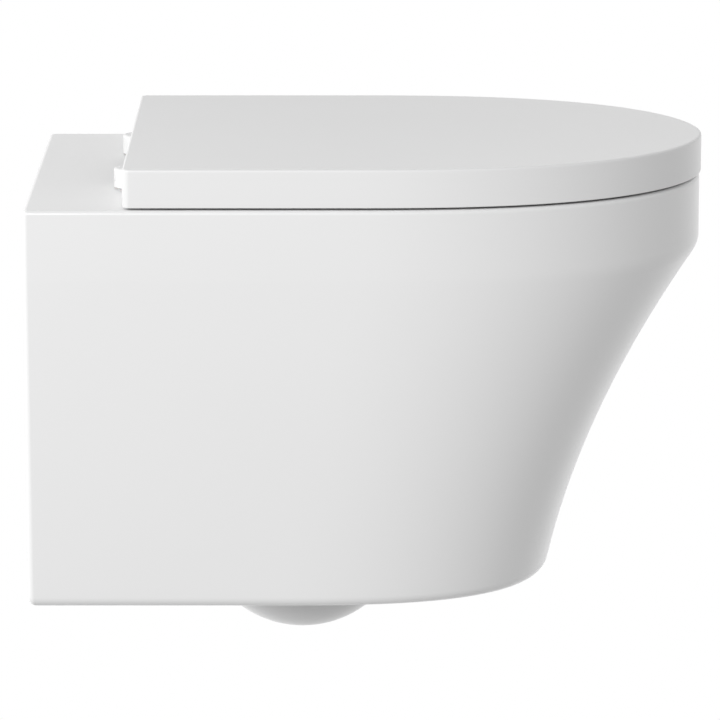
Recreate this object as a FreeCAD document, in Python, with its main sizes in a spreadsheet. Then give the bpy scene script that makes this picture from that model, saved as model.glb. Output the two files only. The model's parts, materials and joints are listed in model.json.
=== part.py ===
"""Wall hung toilet: ceramic pan, wall fixings, plug-on hinges, seat ring and wrap-over lid.

Frame: X runs across the pan, the wall is the plane Y = 0, the front points to -Y and +Z is up.
The origin lies on the wall, midway between the two wall studs. All sizes are millimetres.
"""
import FreeCAD, Part
import Sketcher
import math
import os

from FreeCAD import Placement, Rotation, Vector

# --------------------------------------------------------------------------- driving sizes
SIZES = [
    # ceramic body
    ("pan_width", 355.0, "width of the ceramic at the rim"),
    ("pan_length", 519.0, "wall to the front of the rim"),
    ("rim_height", 80.0, "rim above the two wall studs"),
    ("pan_height", 309.0, "rim to the foot of the skirt"),
    ("band_height", 54.0, "upright band under the rim"),
    ("band_round", 6.0, "half height of the rounding under the band"),
    ("foot_width", 339.0, "width of the skirt at its foot"),
    ("foot_length", 404.5, "wall to the front of the skirt at its foot"),
    ("rim_straight", 250.0, "wall to where the nose curve starts at the rim"),
    ("foot_straight", 150.0, "wall to where the nose curve starts at the foot"),
    ("front_hollow", 0.5, "how much the front line is hollowed, 0 is straight"),
    ("skirt_wall", 11.0, "ceramic thickness of the skirt"),
    ("deck_thickness", 13.0, "ceramic thickness of the deck"),
    ("rear_wall", 14.0, "ceramic thickness against the wall"),
    ("corner_round", 6.0, "upright corners at the wall, at the rim"),
    ("foot_corner", 12.0, "the same corners at the foot"),
    ("rim_round", 3.5, "edge round along the rim"),
    ("foot_round", 8.0, "edge round along the foot"),
    # bowl
    ("bowl_width", 240.0, "bowl opening across"),
    ("bowl_length", 314.0, "bowl opening front to back"),
    ("bowl_middle", 318.0, "wall to the middle of the bowl opening"),
    ("bowl_wall", 10.0, "ceramic thickness of the bowl"),
    ("bowl_round", 7.0, "edge round of the bowl opening"),
    # trap and outlet
    ("trap_place", 208.0, "wall to the middle of the trap"),
    ("trap_drop", 282.5, "rim to the middle of the trap"),
    ("trap_radius", 83.0, "outer radius of the trap seen from the side"),
    ("trap_pipe", 47.0, "outer radius of the trap's pipe"),
    ("trap_wall", 11.0, "ceramic thickness of the trap"),
    ("trap_flat", 5.0, "half width of the flat crown round the trap"),
    ("trap_bend", 82.0, "bend radius of the pipe over the weir"),
    ("sump_reach", 8.0, "how far the bowl's sump runs down into the trap"),
    ("sump_step", 1.5, "front of the sump's lower end short of the trap's front"),
    ("outlet_drop", 180.0, "rim to the middle of the waste outlet"),
    ("spigot_diameter", 102.0, "outer diameter of the waste spigot"),
    ("spigot_length", 55.0, "length of the waste spigot"),
    ("spigot_setback", 3.0, "wall to the end of the spigot"),
    ("spigot_room", 11.0, "room round the spigot for the waste connector"),
    # flush inlet
    ("inlet_drop", 45.0, "rim to the middle of the flush inlet"),
    ("inlet_diameter", 55.0, "socket for the flush pipe"),
    ("inlet_depth", 30.0, "depth of that socket"),
    ("inlet_pipe", 34.0, "outer radius of the ceramic flush pipe"),
    ("flush_bore", 20.0, "bore radius of the ceramic flush pipe"),
    ("guard_wall", 3.0, "wall of the plastic flush guard's tube"),
    ("guard_reach", 22.0, "how far that tube reaches into the flush pipe"),
    ("guard_lip", 4.0, "how far it stands out into the bowl"),
    ("guard_gap", 8.0, "gap between the tube and its cap, where the water spreads"),
    ("guard_cap", 28.0, "radius of the cap"),
    ("guard_cap_thickness", 4.0, "thickness of the cap"),
    ("guard_strut", 1.4, "radius of the struts that carry the cap"),
    # wall fixings
    ("stud_spacing", 180.0, "distance between the wall studs"),
    ("fixing_hole", 26.0, "holes in the ceramic for the studs"),
    ("fixing_boss", 28.0, "radius of the ceramic boss round each hole"),
    ("boss_depth", 22.0, "wall to the front face of the boss"),
    ("sleeve_bore", 13.0, "bore of the plastic sleeve"),
    ("washer_diameter", 36.0, "steel washer under each nut"),
    ("washer_thickness", 3.0, "thickness of washer and sleeve flange"),
    ("nut_flats", 19.0, "nut across flats"),
    ("nut_bore", 12.2, "nut bore, thread left out"),
    ("nut_height", 10.0, "height of the nut"),
    # hinge line
    ("hinge_spacing", 155.0, "distance between the hinge holes"),
    ("hinge_place", 78.0, "wall to the hinge line"),
    ("hinge_hole", 15.0, "holes in the deck"),
    ("hinge_lift", 10.0, "hinge axis above the deck"),
    ("hub_diameter", 27.0, "upright hinge hub"),
    ("hub_top", 16.0, "top of the hub above the deck"),
    ("pin_diameter", 6.0, "hinge pin"),
    ("running_gap", 0.03, "radial clearance of what turns on a pin"),
    ("side_gap", 1.0, "gap between a hub and the ears beside it"),
    ("ear_width", 9.0, "width of a hinge ear"),
    ("gasket_thickness", 1.0, "rubber ring under the hub"),
    ("plug_diameter", 11.0, "plug that the hub pushes onto"),
    ("plug_top", 6.2, "top of the plug above the deck"),
    ("plug_flange", 24.0, "flange of the plug"),
    ("flange_thickness", 1.4, "thickness of that flange"),
    ("fit_gap", 0.3, "clearance of what plugs in or lies beside another piece"),
    ("pin_chamfer", 0.5, "chamfer on the ends of pins and plugs"),
    ("hub_chamfer", 1.0, "chamfer round the top of the hub"),
    ("bolt_diameter", 8.0, "hinge bolt through the deck"),
    ("bolt_gap", 0.1, "radial clearance of bush, washer and nut on the bolt"),
    ("bolt_reach", 45.0, "bolt end below the deck's upper face"),
    ("hinge_washer", 26.0, "washer under the deck"),
    ("hinge_washer_thickness", 2.0, "thickness of that washer"),
    ("wing_nut_height", 14.0, "height of the wing nut"),
    ("wing_span", 40.0, "wing tip to wing tip"),
    ("wing_thickness", 2.5, "thickness of a wing"),
    ("wing_height", 12.0, "height of a wing"),
    ("wing_round", 4.0, "rounded corners of a wing"),
    ("core_low", 3.0, "wall of the wing nut's core at its lower end"),
    ("core_high", 5.0, "wall of that core under the washer"),
    ("damper_radius", 7.0, "soft-close damper"),
    ("damper_step", 1.0, "step and chamfer of the damper's barrel"),
    ("damper_neck", 5.0, "length of the narrower end of the barrel"),
    ("damper_gap", 0.05, "clearance between a damper and its cradle"),
    ("damper_length", 45.0, "length of a damper"),
    ("damper_socket", 9.0, "how far a hinge pin reaches into a damper"),
    ("cradle_depth", 10.0, "front to back size of the lid damper's cradle"),
    ("cradle_height", 8.0, "height of the seat damper's cradle"),
    ("cradle_setback", 2.0, "cradle end short of the damper's end"),
    ("ear_radius", 6.0, "radius of an ear round the pin"),
    ("seat_ear_radius", 5.0, "radius of a seat ear round the pin"),
    # seat ring
    ("seat_lift", 5.0, "seat ring above the deck"),
    ("seat_thickness", 17.0, "thickness of the seat ring"),
    ("seat_setback", 16.5, "hinge line to the back of the seat ring"),
    ("seat_hole_width", 224.0, "seat opening across"),
    ("seat_hole_length", 290.0, "seat opening front to back"),
    ("seat_hole_middle", 308.0, "wall to the middle of the seat opening"),
    ("seat_gap", 2.7, "gap between the seat ring and the lid's wall"),
    ("seat_round", 6.0, "edge round along the top of the seat ring"),
    ("seat_under_round", 2.5, "edge round underneath the seat ring"),
    ("seat_corner", 12.0, "upright corners at the back of the seat ring"),
    # lid
    ("lid_overhang", 1.2, "lid beyond the ceramic, all round"),
    ("lid_overrun", 3.0, "hinge line to the back of the lid, which covers it"),
    ("lid_gap", 2.0, "deck to the lower edge of the lid"),
    ("lid_top", 31.4, "deck to the top of the lid"),
    ("lid_plate", 6.0, "thickness of the lid's top"),
    ("lid_wall", 5.0, "thickness of the lid's wall"),
    ("lid_round", 2.0, "edge round along the top of the lid"),
    ("lid_under_round", 0.8, "edge round along the foot of the lid's wall"),
    ("lid_corner", 5.5, "upright corners at the back of the lid"),
    ("lid_back_opening", 212.0, "opening in the lid's back wall for the hinges"),
    ("buffer_gap", 0.3, "air under a rubber buffer at rest"),
    ("seat_buffer", 10.0, "radius of a seat buffer"),
    ("lid_buffer", 7.0, "radius of a lid buffer"),
]

RIM_NOSE = (2.6, 1.89)      # exponents of the nose curve at the rim
FOOT_NOSE = (2.86, 2.82)    # exponents of the nose curve at the foot
NOSE_STEPS = 6              # points on each half of a nose curve
BAND_STEPS = 2              # facets of the rounding under the band
SIDE_STEPS = 6              # stretches of the skirt's side, and of the hollow behind it
FINE_ROUND = 3.0            # a rounding under this radius has two facets, a larger one three
BOWL_STEPS = 9              # stretches of the bowl's wall
BEND_STEPS = 5              # stretches of the pipe's bend over the weir
DRUM_STEPS = 4              # facets of each rounded rim of the trap
SLACK = 2.0                 # how far a cutting solid runs past the face it opens

# depth under the rim, then half width, half length and forward shift, each as a share of the opening
BOWL_SECTIONS = [
    (0.0, 1.0, 1.0, 0.0),
    (50.0, 0.965, 0.968, 0.0),
    (120.0, 0.815, 0.815, -12.0),
    (185.0, 0.55, 0.535, -38.0),
    (235.0, 0.375, 0.306, -64.0),
]

doc = FreeCAD.newDocument("WallHungToilet")
sheet = doc.addObject("Spreadsheet::Sheet", "sizes")
for row, (alias, value, meaning) in enumerate(SIZES, start=1):
    sheet.set(f"A{row}", meaning)
    sheet.set(f"B{row}", str(value))
    sheet.setAlias(f"B{row}", alias)
doc.recompute()

nodes = []          # the finished sub-parts, in the order they are made


# --------------------------------------------------------------------------- helpers
def size(alias):
    """The value of one driving size."""
    return float(getattr(sheet, alias))


def bind(thing, **expressions):
    """Bind properties to expressions; a double underscore stands for a dot."""
    for name, text in expressions.items():
        thing.setExpression(name.replace("__", "."), text)
    return thing


def add(kind, name, **expressions):
    """Make an object of the document and bind its properties."""
    return bind(doc.addObject(kind, name), **expressions)


def turned(thing, axis, angle):
    """Turn an object about an axis through its own base point."""
    thing.Placement = Placement(Vector(), Rotation(axis, angle))
    return thing


def feature(name, shape):
    """A plain feature whose shape is worked out here."""
    thing = doc.addObject("Part::Feature", name)
    thing.Shape = shape
    return thing


def fuse(name, things):
    """One solid from several that meet."""
    thing = doc.addObject("Part::MultiFuse", name)
    thing.Shapes = things
    thing.Refine = True
    return thing


def cut(name, base, tools):
    """A base without its tools, which are joined first when there are several."""
    thing = doc.addObject("Part::Cut", name)
    thing.Base = base
    thing.Tool = tools[0] if len(tools) == 1 else fuse(name + "_tools", tools)
    return thing


def fillet(name, base, radius, chosen):
    """Round the edges of base for which chosen(edge) holds."""
    doc.recompute()
    thing = doc.addObject("Part::Fillet", name)
    thing.Base = base
    picked = [i for i, edge in enumerate(base.Shape.Edges, start=1) if chosen(edge)]
    if not picked:
        raise RuntimeError(f"{name}: no edge to round")
    thing.Edges = [(i, radius, radius) for i in picked]
    return thing


def node(label, thing):
    """Name a finished sub-part."""
    thing.Label = label
    nodes.append(thing)
    return thing


def gathered(label, things):
    """Several equal loose pieces kept as one sub-part."""
    doc.recompute()
    group = doc.addObject("Part::Compound", label)
    group.Links = things
    return node(label, group)


def rod(name, radius, length, x, y, z, along):
    """A cylinder bound to expressions, along X, -Y or +Z from its base point."""
    thing = doc.addObject("Part::Cylinder", name)
    if along == "x":
        turned(thing, Vector(0, 1, 0), 90)
    elif along == "front":
        turned(thing, Vector(1, 0, 0), 90)
    return bind(thing, Radius=radius, Height=length,
                Placement__Base__x=x, Placement__Base__y=y, Placement__Base__z=z)


def block(name, length, width, height, x, y, z):
    """A box bound to expressions, from its lowest corner."""
    return add("Part::Box", name, Length=length, Width=width, Height=height,
               Placement__Base__x=x, Placement__Base__y=y, Placement__Base__z=z)


# --------------------------------------------------------------------------- outlines
def nose_curve(half_width, start, tip, exponents, z):
    """The rounded front of a D outline, from one straight side to the other."""
    along, across = exponents
    points = []
    for step in range(-NOSE_STEPS, NOSE_STEPS + 1):
        angle = math.pi / 2 * (1 - abs(step) / NOSE_STEPS)
        reach = start + (tip - start) * math.sin(angle) ** (2 / along)
        x = half_width * math.cos(angle) ** (2 / across) if step else 0.0
        points.append(Vector(math.copysign(x, step), -reach, z))
    curve = Part.BSplineCurve()
    curve.interpolate(Points=points, InitialTangent=Vector(0, -1, 0), FinalTangent=Vector(0, 1, 0))
    return curve.toShape()


def d_outline(half_width, back, start, tip, exponents, corner, z):
    """A D outline: straight back and sides, rounded back corners, curved nose."""
    bend = corner * (1 - math.sqrt(0.5))
    left = -half_width
    right = half_width
    arc_right = Part.Arc(Vector(right - corner, -back, z), Vector(right - bend, -back - bend, z),
                         Vector(right, -back - corner, z)).toShape()
    arc_left = Part.Arc(Vector(left, -back - corner, z), Vector(left + bend, -back - bend, z),
                        Vector(left + corner, -back, z)).toShape()
    return Part.Wire([
        arc_left,
        Part.makeLine(Vector(left + corner, -back, z), Vector(right - corner, -back, z)),
        arc_right,
        Part.makeLine(Vector(right, -back - corner, z), Vector(right, -start, z)),
        nose_curve(half_width, start, tip, exponents, z),
        Part.makeLine(Vector(left, -start, z), Vector(left, -back - corner, z)),
    ])


def loft(name, sections):
    """A solid through closed sections, straight from each one to the next."""
    thing = doc.addObject("Part::Loft", name)
    thing.Sections = sections
    thing.Solid = True
    thing.Ruled = True
    return thing


def even_steps(first, last, count):
    """Evenly spaced values from first to last."""
    return [first + (last - first) * i / count for i in range(count + 1)]


def round_steps(radius):
    """A rounded edge as (distance from the face, inset) pairs, from the face to where the side begins."""
    facets = 2 if radius < FINE_ROUND else 3
    return [(radius * (1 - math.sin(angle)), radius * (1 - math.cos(angle)))
            for angle in even_steps(math.pi / 2, 0, facets)]


def rounded_slab(name, outline, low, high, under, over):
    """A slab over outline(inset, z), its lower and upper edges rounded."""
    rows = [(low + rise, inset) for rise, inset in round_steps(under)]
    rows += [(high - drop, inset) for drop, inset in reversed(round_steps(over))]
    return loft(name, [feature(f"{name}_{i}", outline(inset, z)) for i, (z, inset) in enumerate(rows)])


def front_setback(depth):
    """How far the front line lies behind the rim at a depth, as a share of the whole setback."""
    slope = 1 + size("front_hollow")
    reach = size("pan_height") - size("band_height")
    share = (depth - size("band_height")) / reach
    ease = size("band_round") / reach
    if abs(share) < ease:       # the rounding under the band: a parabola between the two lines
        return slope * (share + ease) ** 2 / (4 * ease)
    return slope * share - size("front_hollow") * share ** 2 if share > 0 else 0.0


def skirt_section(name, depth, inset, back, corner=None):
    """The skirt's outline at a depth, moved inwards by an inset, with its back at a distance."""
    setback = front_setback(depth)
    share = max(0.0, (depth - size("band_height")) / (size("pan_height") - size("band_height")))
    tip = size("pan_length") + (size("foot_length") - size("pan_length")) * setback
    half = (size("pan_width") + (size("foot_width") - size("pan_width")) * share) / 2
    start = size("rim_straight") + (size("foot_straight") - size("rim_straight")) * setback
    exponents = [rim + (foot - rim) * setback for rim, foot in zip(RIM_NOSE, FOOT_NOSE)]
    if corner is None:
        corner = size("corner_round") + (size("foot_corner") - size("corner_round")) * share - inset
    outline = d_outline(half - inset, back, start, tip - inset, exponents,
                        corner, size("rim_height") - depth)
    return feature(name, outline)


# --------------------------------------------------------------------------- ceramic pan
def make_skirt():
    """The outer form: rounded rim, upright band, a skirt that draws in, and a foot that rounds under."""
    edge = size("band_height")
    ease = size("band_round")
    last = size("pan_height") - size("foot_round")
    rows = list(round_steps(size("rim_round")))
    rows += [(depth, 0) for depth in even_steps(edge - ease, edge + ease, BAND_STEPS)]
    rows += [(depth, 0) for depth in even_steps(edge + ease, last, SIDE_STEPS)[1:]]
    rows += [(size("pan_height") - rise, inset)
             for rise, inset in reversed(round_steps(size("foot_round"))[:-1])]
    return loft("skirt", [skirt_section(f"skirt_{i}", depth, inset, inset)
                          for i, (depth, inset) in enumerate(rows)])


def make_hollow():
    """The space inside the skirt, open underneath."""
    inset = size("skirt_wall")
    back = size("rear_wall")
    corner = size("corner_round")
    edge = size("band_height")
    depths = [size("deck_thickness")] + even_steps(edge, size("pan_height") + SLACK, SIDE_STEPS)
    sections = [skirt_section(f"hollow_{i}", depth, inset, back, corner)
                for i, depth in enumerate(depths)]
    return loft("hollow", sections)


def bowl_wall(depth):
    """The bowl's (half width, half length, distance from the wall) at a depth under the rim."""
    for upper, lower in zip(BOWL_SECTIONS, BOWL_SECTIONS[1:]):
        if depth <= lower[0]:
            break
    share = (depth - upper[0]) / (lower[0] - upper[0])
    before = BOWL_SECTIONS[max(BOWL_SECTIONS.index(upper) - 1, 0)]
    after = BOWL_SECTIONS[min(BOWL_SECTIONS.index(lower) + 1, len(BOWL_SECTIONS) - 1)]
    values = []
    for i in (1, 2, 3):     # a smooth curve through the sections
        into = (lower[i] - before[i]) / (lower[0] - before[0]) * (lower[0] - upper[0])
        out = (after[i] - upper[i]) / (after[0] - upper[0]) * (lower[0] - upper[0])
        values.append(upper[i] * (1 + 2 * share) * (1 - share) ** 2 + into * share * (1 - share) ** 2
                      + lower[i] * (3 - 2 * share) * share ** 2 - out * (1 - share) * share ** 2)
    return (values[0] * size("bowl_width") / 2, values[1] * size("bowl_length") / 2,
            size("bowl_middle") + values[2])


def bowl_section(name, depth, half_width, half_length, reach):
    """One level ellipse of the bowl."""
    z = size("rim_height") - depth
    across = half_width > half_length
    ellipse = Part.Ellipse(Vector(0, -reach, z), max(half_width, half_length), min(half_width, half_length))
    if not across:
        ellipse.rotate(Placement(Vector(0, -reach, z), Rotation(Vector(0, 0, 1), 90), Vector()))
    return feature(name, Part.Wire([ellipse.toShape()]))


def bowl_form(name, wall, depths):
    """The bowl down into the trap, through (depth, growth) pairs and grown by a wall thickness."""
    sections = []
    for i, (depth, growth) in enumerate(depths):
        half_width, half_length, reach = bowl_wall(max(depth, 0))
        sections.append(bowl_section(f"{name}_{i}", depth, half_width + wall + growth,
                                     half_length + wall + growth, reach))
    back = size("trap_place") + size("trap_wall")
    front = size("trap_place") + size("trap_radius") - size("trap_wall") - size("sump_step")
    sections.append(bowl_section(f"{name}_sump", size("trap_drop") + size("sump_reach"),
                                 size("trap_pipe") - size("trap_wall") + wall,
                                 (front - back) / 2 + wall, (front + back) / 2))
    return loft(name, sections)


def ring_section(name, radius, middle, axis, angle):
    """A circle round a point, its plane turned from level about X, or about Y, by an angle."""
    ring = Part.makeCircle(radius)
    ring.Placement = Placement(middle, Rotation(axis, angle))
    return feature(name, Part.Wire([ring]))


def trap_drum(name, inset):
    """The round lower part of the trap: a wide disc on a cross axis with well rounded rims."""
    radius = size("trap_radius") - inset
    half = size("trap_pipe") - inset
    bend = half - size("trap_flat")
    rim = [(half - bend * (1 - math.cos(angle)), radius - bend * (1 - math.sin(angle)))
           for angle in even_steps(0, math.pi / 2, DRUM_STEPS)]
    rows = [(-x, ring) for x, ring in rim] + rim[::-1]
    y = -size("trap_place")
    z = size("rim_height") - size("trap_drop")
    return loft(name, [ring_section(f"{name}_{i}", ring, Vector(x, y, z), Vector(0, 1, 0), 90)
                       for i, (x, ring) in enumerate(rows)])


def trap_pipe(name, radius, back):
    """The pipe from the trap up over the weir and back to the wall."""
    bend = size("trap_bend")
    leg = size("trap_place") - (size("trap_radius") - size("trap_pipe"))
    high = size("rim_height") - size("outlet_drop")
    low = size("rim_height") - size("trap_drop")
    rows = [(Vector(0, -back, high), 90)]
    for angle in even_steps(90, 0, BEND_STEPS):
        turn = math.radians(angle)
        y = bend - leg - bend * math.cos(turn)
        rows.append((Vector(0, y, high - bend + bend * math.sin(turn)), angle))
    rows.append((Vector(0, -leg, low), 0))
    return loft(name, [ring_section(f"{name}_{i}", radius, middle, Vector(1, 0, 0), -angle)
                       for i, (middle, angle) in enumerate(rows)])


def make_pan():
    """The glazed ceramic: skirt, deck, bowl, trap, waste spigot, flush pipe and fixing bosses."""
    waste_z = "sizes.rim_height - sizes.outlet_drop"
    clearing = rod("spigot_clearing", "sizes.spigot_diameter / 2 + sizes.spigot_room",
                   f"sizes.rear_wall + {2 * SLACK}", "0", str(SLACK), waste_z, "front")
    shell = cut("skirt_shell", make_skirt(), [make_hollow(), clearing])
    levels = even_steps(size("deck_thickness") / 2, BOWL_SECTIONS[-1][0], BOWL_STEPS)
    lip = round_steps(size("bowl_round"))
    inner_radius = size("trap_pipe") - size("trap_wall")
    inlet_z = "sizes.rim_height - sizes.inlet_drop"
    bowl_back = "sizes.bowl_middle - sizes.bowl_length / 2"
    solids = [
        shell,
        bowl_form("bowl_outer", size("bowl_wall"), [(depth, 0) for depth in levels]),
        trap_drum("trap_outer", 0),
        trap_pipe("pipe_outer", size("trap_pipe"), size("spigot_setback")),
        rod("spigot", "sizes.spigot_diameter / 2", "sizes.spigot_length", "0",
            "-sizes.spigot_setback", waste_z, "front"),
        rod("flush_pipe", "sizes.inlet_pipe", bowl_back + " + sizes.bowl_wall", "0", "0", inlet_z, "front"),
    ]
    lip_rows = [(-SLACK, lip[0][1])] + [(drop, inset) for drop, inset in lip]
    wide = "2 * sizes.trap_radius"
    floor = f"sizes.rim_height - sizes.trap_drop - {wide}"
    lower_half = block("lower_half", wide, wide, wide, "-sizes.trap_radius",
                       "-sizes.trap_place - sizes.trap_radius", floor)
    trap_room = doc.addObject("Part::Common", "trap_room")
    trap_room.Base = trap_drum("trap_inner", size("trap_wall"))
    trap_room.Tool = lower_half
    openings = [
        bowl_form("bowl_inner", 0, lip_rows + [(depth, 0) for depth in levels[1:]]),
        trap_room,
        trap_pipe("pipe_inner", inner_radius, -SLACK),
        rod("flush_way", "sizes.flush_bore", bowl_back + " + sizes.bowl_wall",
            "0", str(SLACK), inlet_z, "front"),
        rod("inlet_socket", "sizes.inlet_diameter / 2", f"sizes.inlet_depth + {SLACK}",
            "0", str(SLACK), inlet_z, "front"),
    ]
    for side, sign in (("left", "-"), ("right", "")):
        stud_x = f"{sign}sizes.stud_spacing / 2"
        hinge_x = f"{sign}sizes.hinge_spacing / 2"
        solids.append(rod(f"boss_{side}", "sizes.fixing_boss", "sizes.boss_depth",
                          stud_x, "0", "0", "front"))
        openings.append(rod(f"stud_hole_{side}", "sizes.fixing_hole / 2",
                            f"sizes.boss_depth + {2 * SLACK}", stud_x, str(SLACK), "0", "front"))
        openings.append(rod(f"hinge_hole_{side}", "sizes.hinge_hole / 2",
                            f"sizes.deck_thickness + {2 * SLACK}", hinge_x, "-sizes.hinge_place",
                            f"sizes.rim_height - sizes.deck_thickness - {SLACK}", "up"))
    return node("pan", cut("pan_body", fuse("pan_solids", solids), openings))


# --------------------------------------------------------------------------- turned parts
def evaluate(expression):
    """The value of an expression over the sheet."""
    return float(sheet.evalExpression(expression))


def place_point(sketch, index, kind, value, expression):
    """Tie one coordinate of a profile's point to an expression, or to an axis where it is zero."""
    if abs(value) < 1e-9:
        axis = -2 if kind == "DistanceX" else -1
        sketch.addConstraint(Sketcher.Constraint("PointOnObject", index, 1, axis))
        return
    number = sketch.addConstraint(Sketcher.Constraint(kind, -1, 1, index, 1, value))
    sketch.setExpression(f"Constraints[{number}]", expression)


def turned_body(name, profile, x, y, z, along="up"):
    """A body turned from a half profile of (radius, height) expressions about its own axis."""
    body = doc.addObject("PartDesign::Body", name)
    plane = next(f for f in body.Origin.OriginFeatures if f.Role == "XZ_Plane")
    sketch = body.newObject("Sketcher::SketchObject", name + "_profile")
    sketch.AttachmentSupport = [(plane, "")]
    sketch.MapMode = "FlatFace"
    points = [Vector(evaluate(radius), evaluate(height), 0) for radius, height in profile]
    for start, end in zip(points, points[1:] + points[:1]):
        sketch.addGeometry(Part.LineSegment(start, end), False)
    for i in range(len(points)):
        sketch.addConstraint(Sketcher.Constraint("Coincident", i, 2, (i + 1) % len(points), 1))
    for i, (radius, height) in enumerate(profile):
        place_point(sketch, i, "DistanceX", points[i].x, radius)
        place_point(sketch, i, "DistanceY", points[i].y, height)
    turn = body.newObject("PartDesign::Revolution", name + "_turn")
    turn.Profile = sketch
    turn.ReferenceAxis = (sketch, ["V_Axis"])
    turn.Angle = 360
    if along == "front":
        turned(body, Vector(1, 0, 0), 90)
    elif along == "x":
        turned(body, Vector(0, 1, 0), 90)
    return bind(body, Placement__Base__x=x, Placement__Base__y=y, Placement__Base__z=z)


def ring_profile(inner, outer, low, high):
    """The half profile of a plain ring."""
    return [(inner, low), (outer, low), (outer, high), (inner, high)]


def pair(label, make):
    """The same piece on the left and on the right, kept as one sub-part."""
    return gathered(label, [make("left", "-"), make("right", "")])


# --------------------------------------------------------------------------- wall fixings
def make_wall_fixings():
    """Sleeves in the ceramic, washers and nuts for the two wall studs."""
    flange_end = "sizes.boss_depth + sizes.washer_thickness"
    washer_end = flange_end + " + sizes.washer_thickness"
    bore = "sizes.sleeve_bore / 2"

    def sleeve(side, sign):
        tube = "sizes.fixing_hole / 2 - sizes.fit_gap"
        flange = "sizes.washer_diameter / 2 - sizes.fit_gap"
        profile = [(bore, "0"), (tube, "0"), (tube, "sizes.boss_depth"),
                   (flange, "sizes.boss_depth"), (flange, flange_end), (bore, flange_end)]
        x = f"{sign}sizes.stud_spacing / 2"
        return turned_body(f"fixing_sleeve_{side}", profile, x, "0", "0", "front")

    def washer(side, sign):
        profile = ring_profile(bore, "sizes.washer_diameter / 2", flange_end, washer_end)
        x = f"{sign}sizes.stud_spacing / 2"
        return turned_body(f"fixing_washer_{side}", profile, x, "0", "0", "front")

    def nut(side, sign):
        x = f"{sign}sizes.stud_spacing / 2"
        prism = doc.addObject("Part::Prism", f"nut_prism_{side}")
        turned(prism, Vector(1, 0, 0), 90)
        bind(prism, Circumradius="sizes.nut_flats / 2 / cos(30)", Height="sizes.nut_height",
             Placement__Base__x=x, Placement__Base__y=f"-({washer_end})")
        hole = rod(f"nut_bore_{side}", "sizes.nut_bore / 2", f"sizes.nut_height + {2 * SLACK}",
                   x, f"-({washer_end}) + {SLACK}", "0", "front")
        return cut(f"fixing_nut_{side}", prism, [hole])

    pair("fixing_sleeves", sleeve)
    pair("fixing_washers", washer)
    pair("fixing_nuts", nut)


def make_flush_deflector():
    """The plastic guard that spreads the flush water round the bowl."""
    tube = "sizes.flush_bore - sizes.fit_gap"
    bore = tube + " - sizes.guard_wall"
    cap_low = "sizes.guard_lip + sizes.guard_gap"
    cap_middle = cap_low + " + sizes.guard_cap_thickness / 2"
    cap_high = cap_low + " + sizes.guard_cap_thickness"
    rim = "sizes.guard_cap - sizes.guard_cap_thickness / 2"
    mouth = f"(sizes.bowl_middle - sizes.bowl_length / 2 * {BOWL_SECTIONS[1][2]})"
    inlet_z = "sizes.rim_height - sizes.inlet_drop"
    tube_profile = ring_profile(bore, tube, "-sizes.guard_reach", "sizes.guard_lip")
    cap_profile = [("0", cap_low), (rim, cap_low), ("sizes.guard_cap", cap_middle), (rim, cap_high),
                   ("0", cap_high)]
    parts = [turned_body("guard_tube", tube_profile, "0", f"-{mouth}", inlet_z, "front"),
             turned_body("guard_plate", cap_profile, "0", f"-{mouth}", inlet_z, "front")]
    for i, angle in enumerate((90, 210, 330)):
        across = math.cos(math.radians(angle))
        up = math.sin(math.radians(angle))
        place = f"({tube} - sizes.guard_wall / 2)"
        parts.append(rod(f"guard_strut_{i}", "sizes.guard_strut",
                         "sizes.guard_gap + (sizes.guard_lip + sizes.guard_cap_thickness) / 2",
                         f"{across} * {place}", f"-{mouth} - sizes.guard_lip / 2",
                         f"{inlet_z} + {up} * {place}", "front"))
    return node("flush_deflector", fuse("guard", parts))


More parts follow.
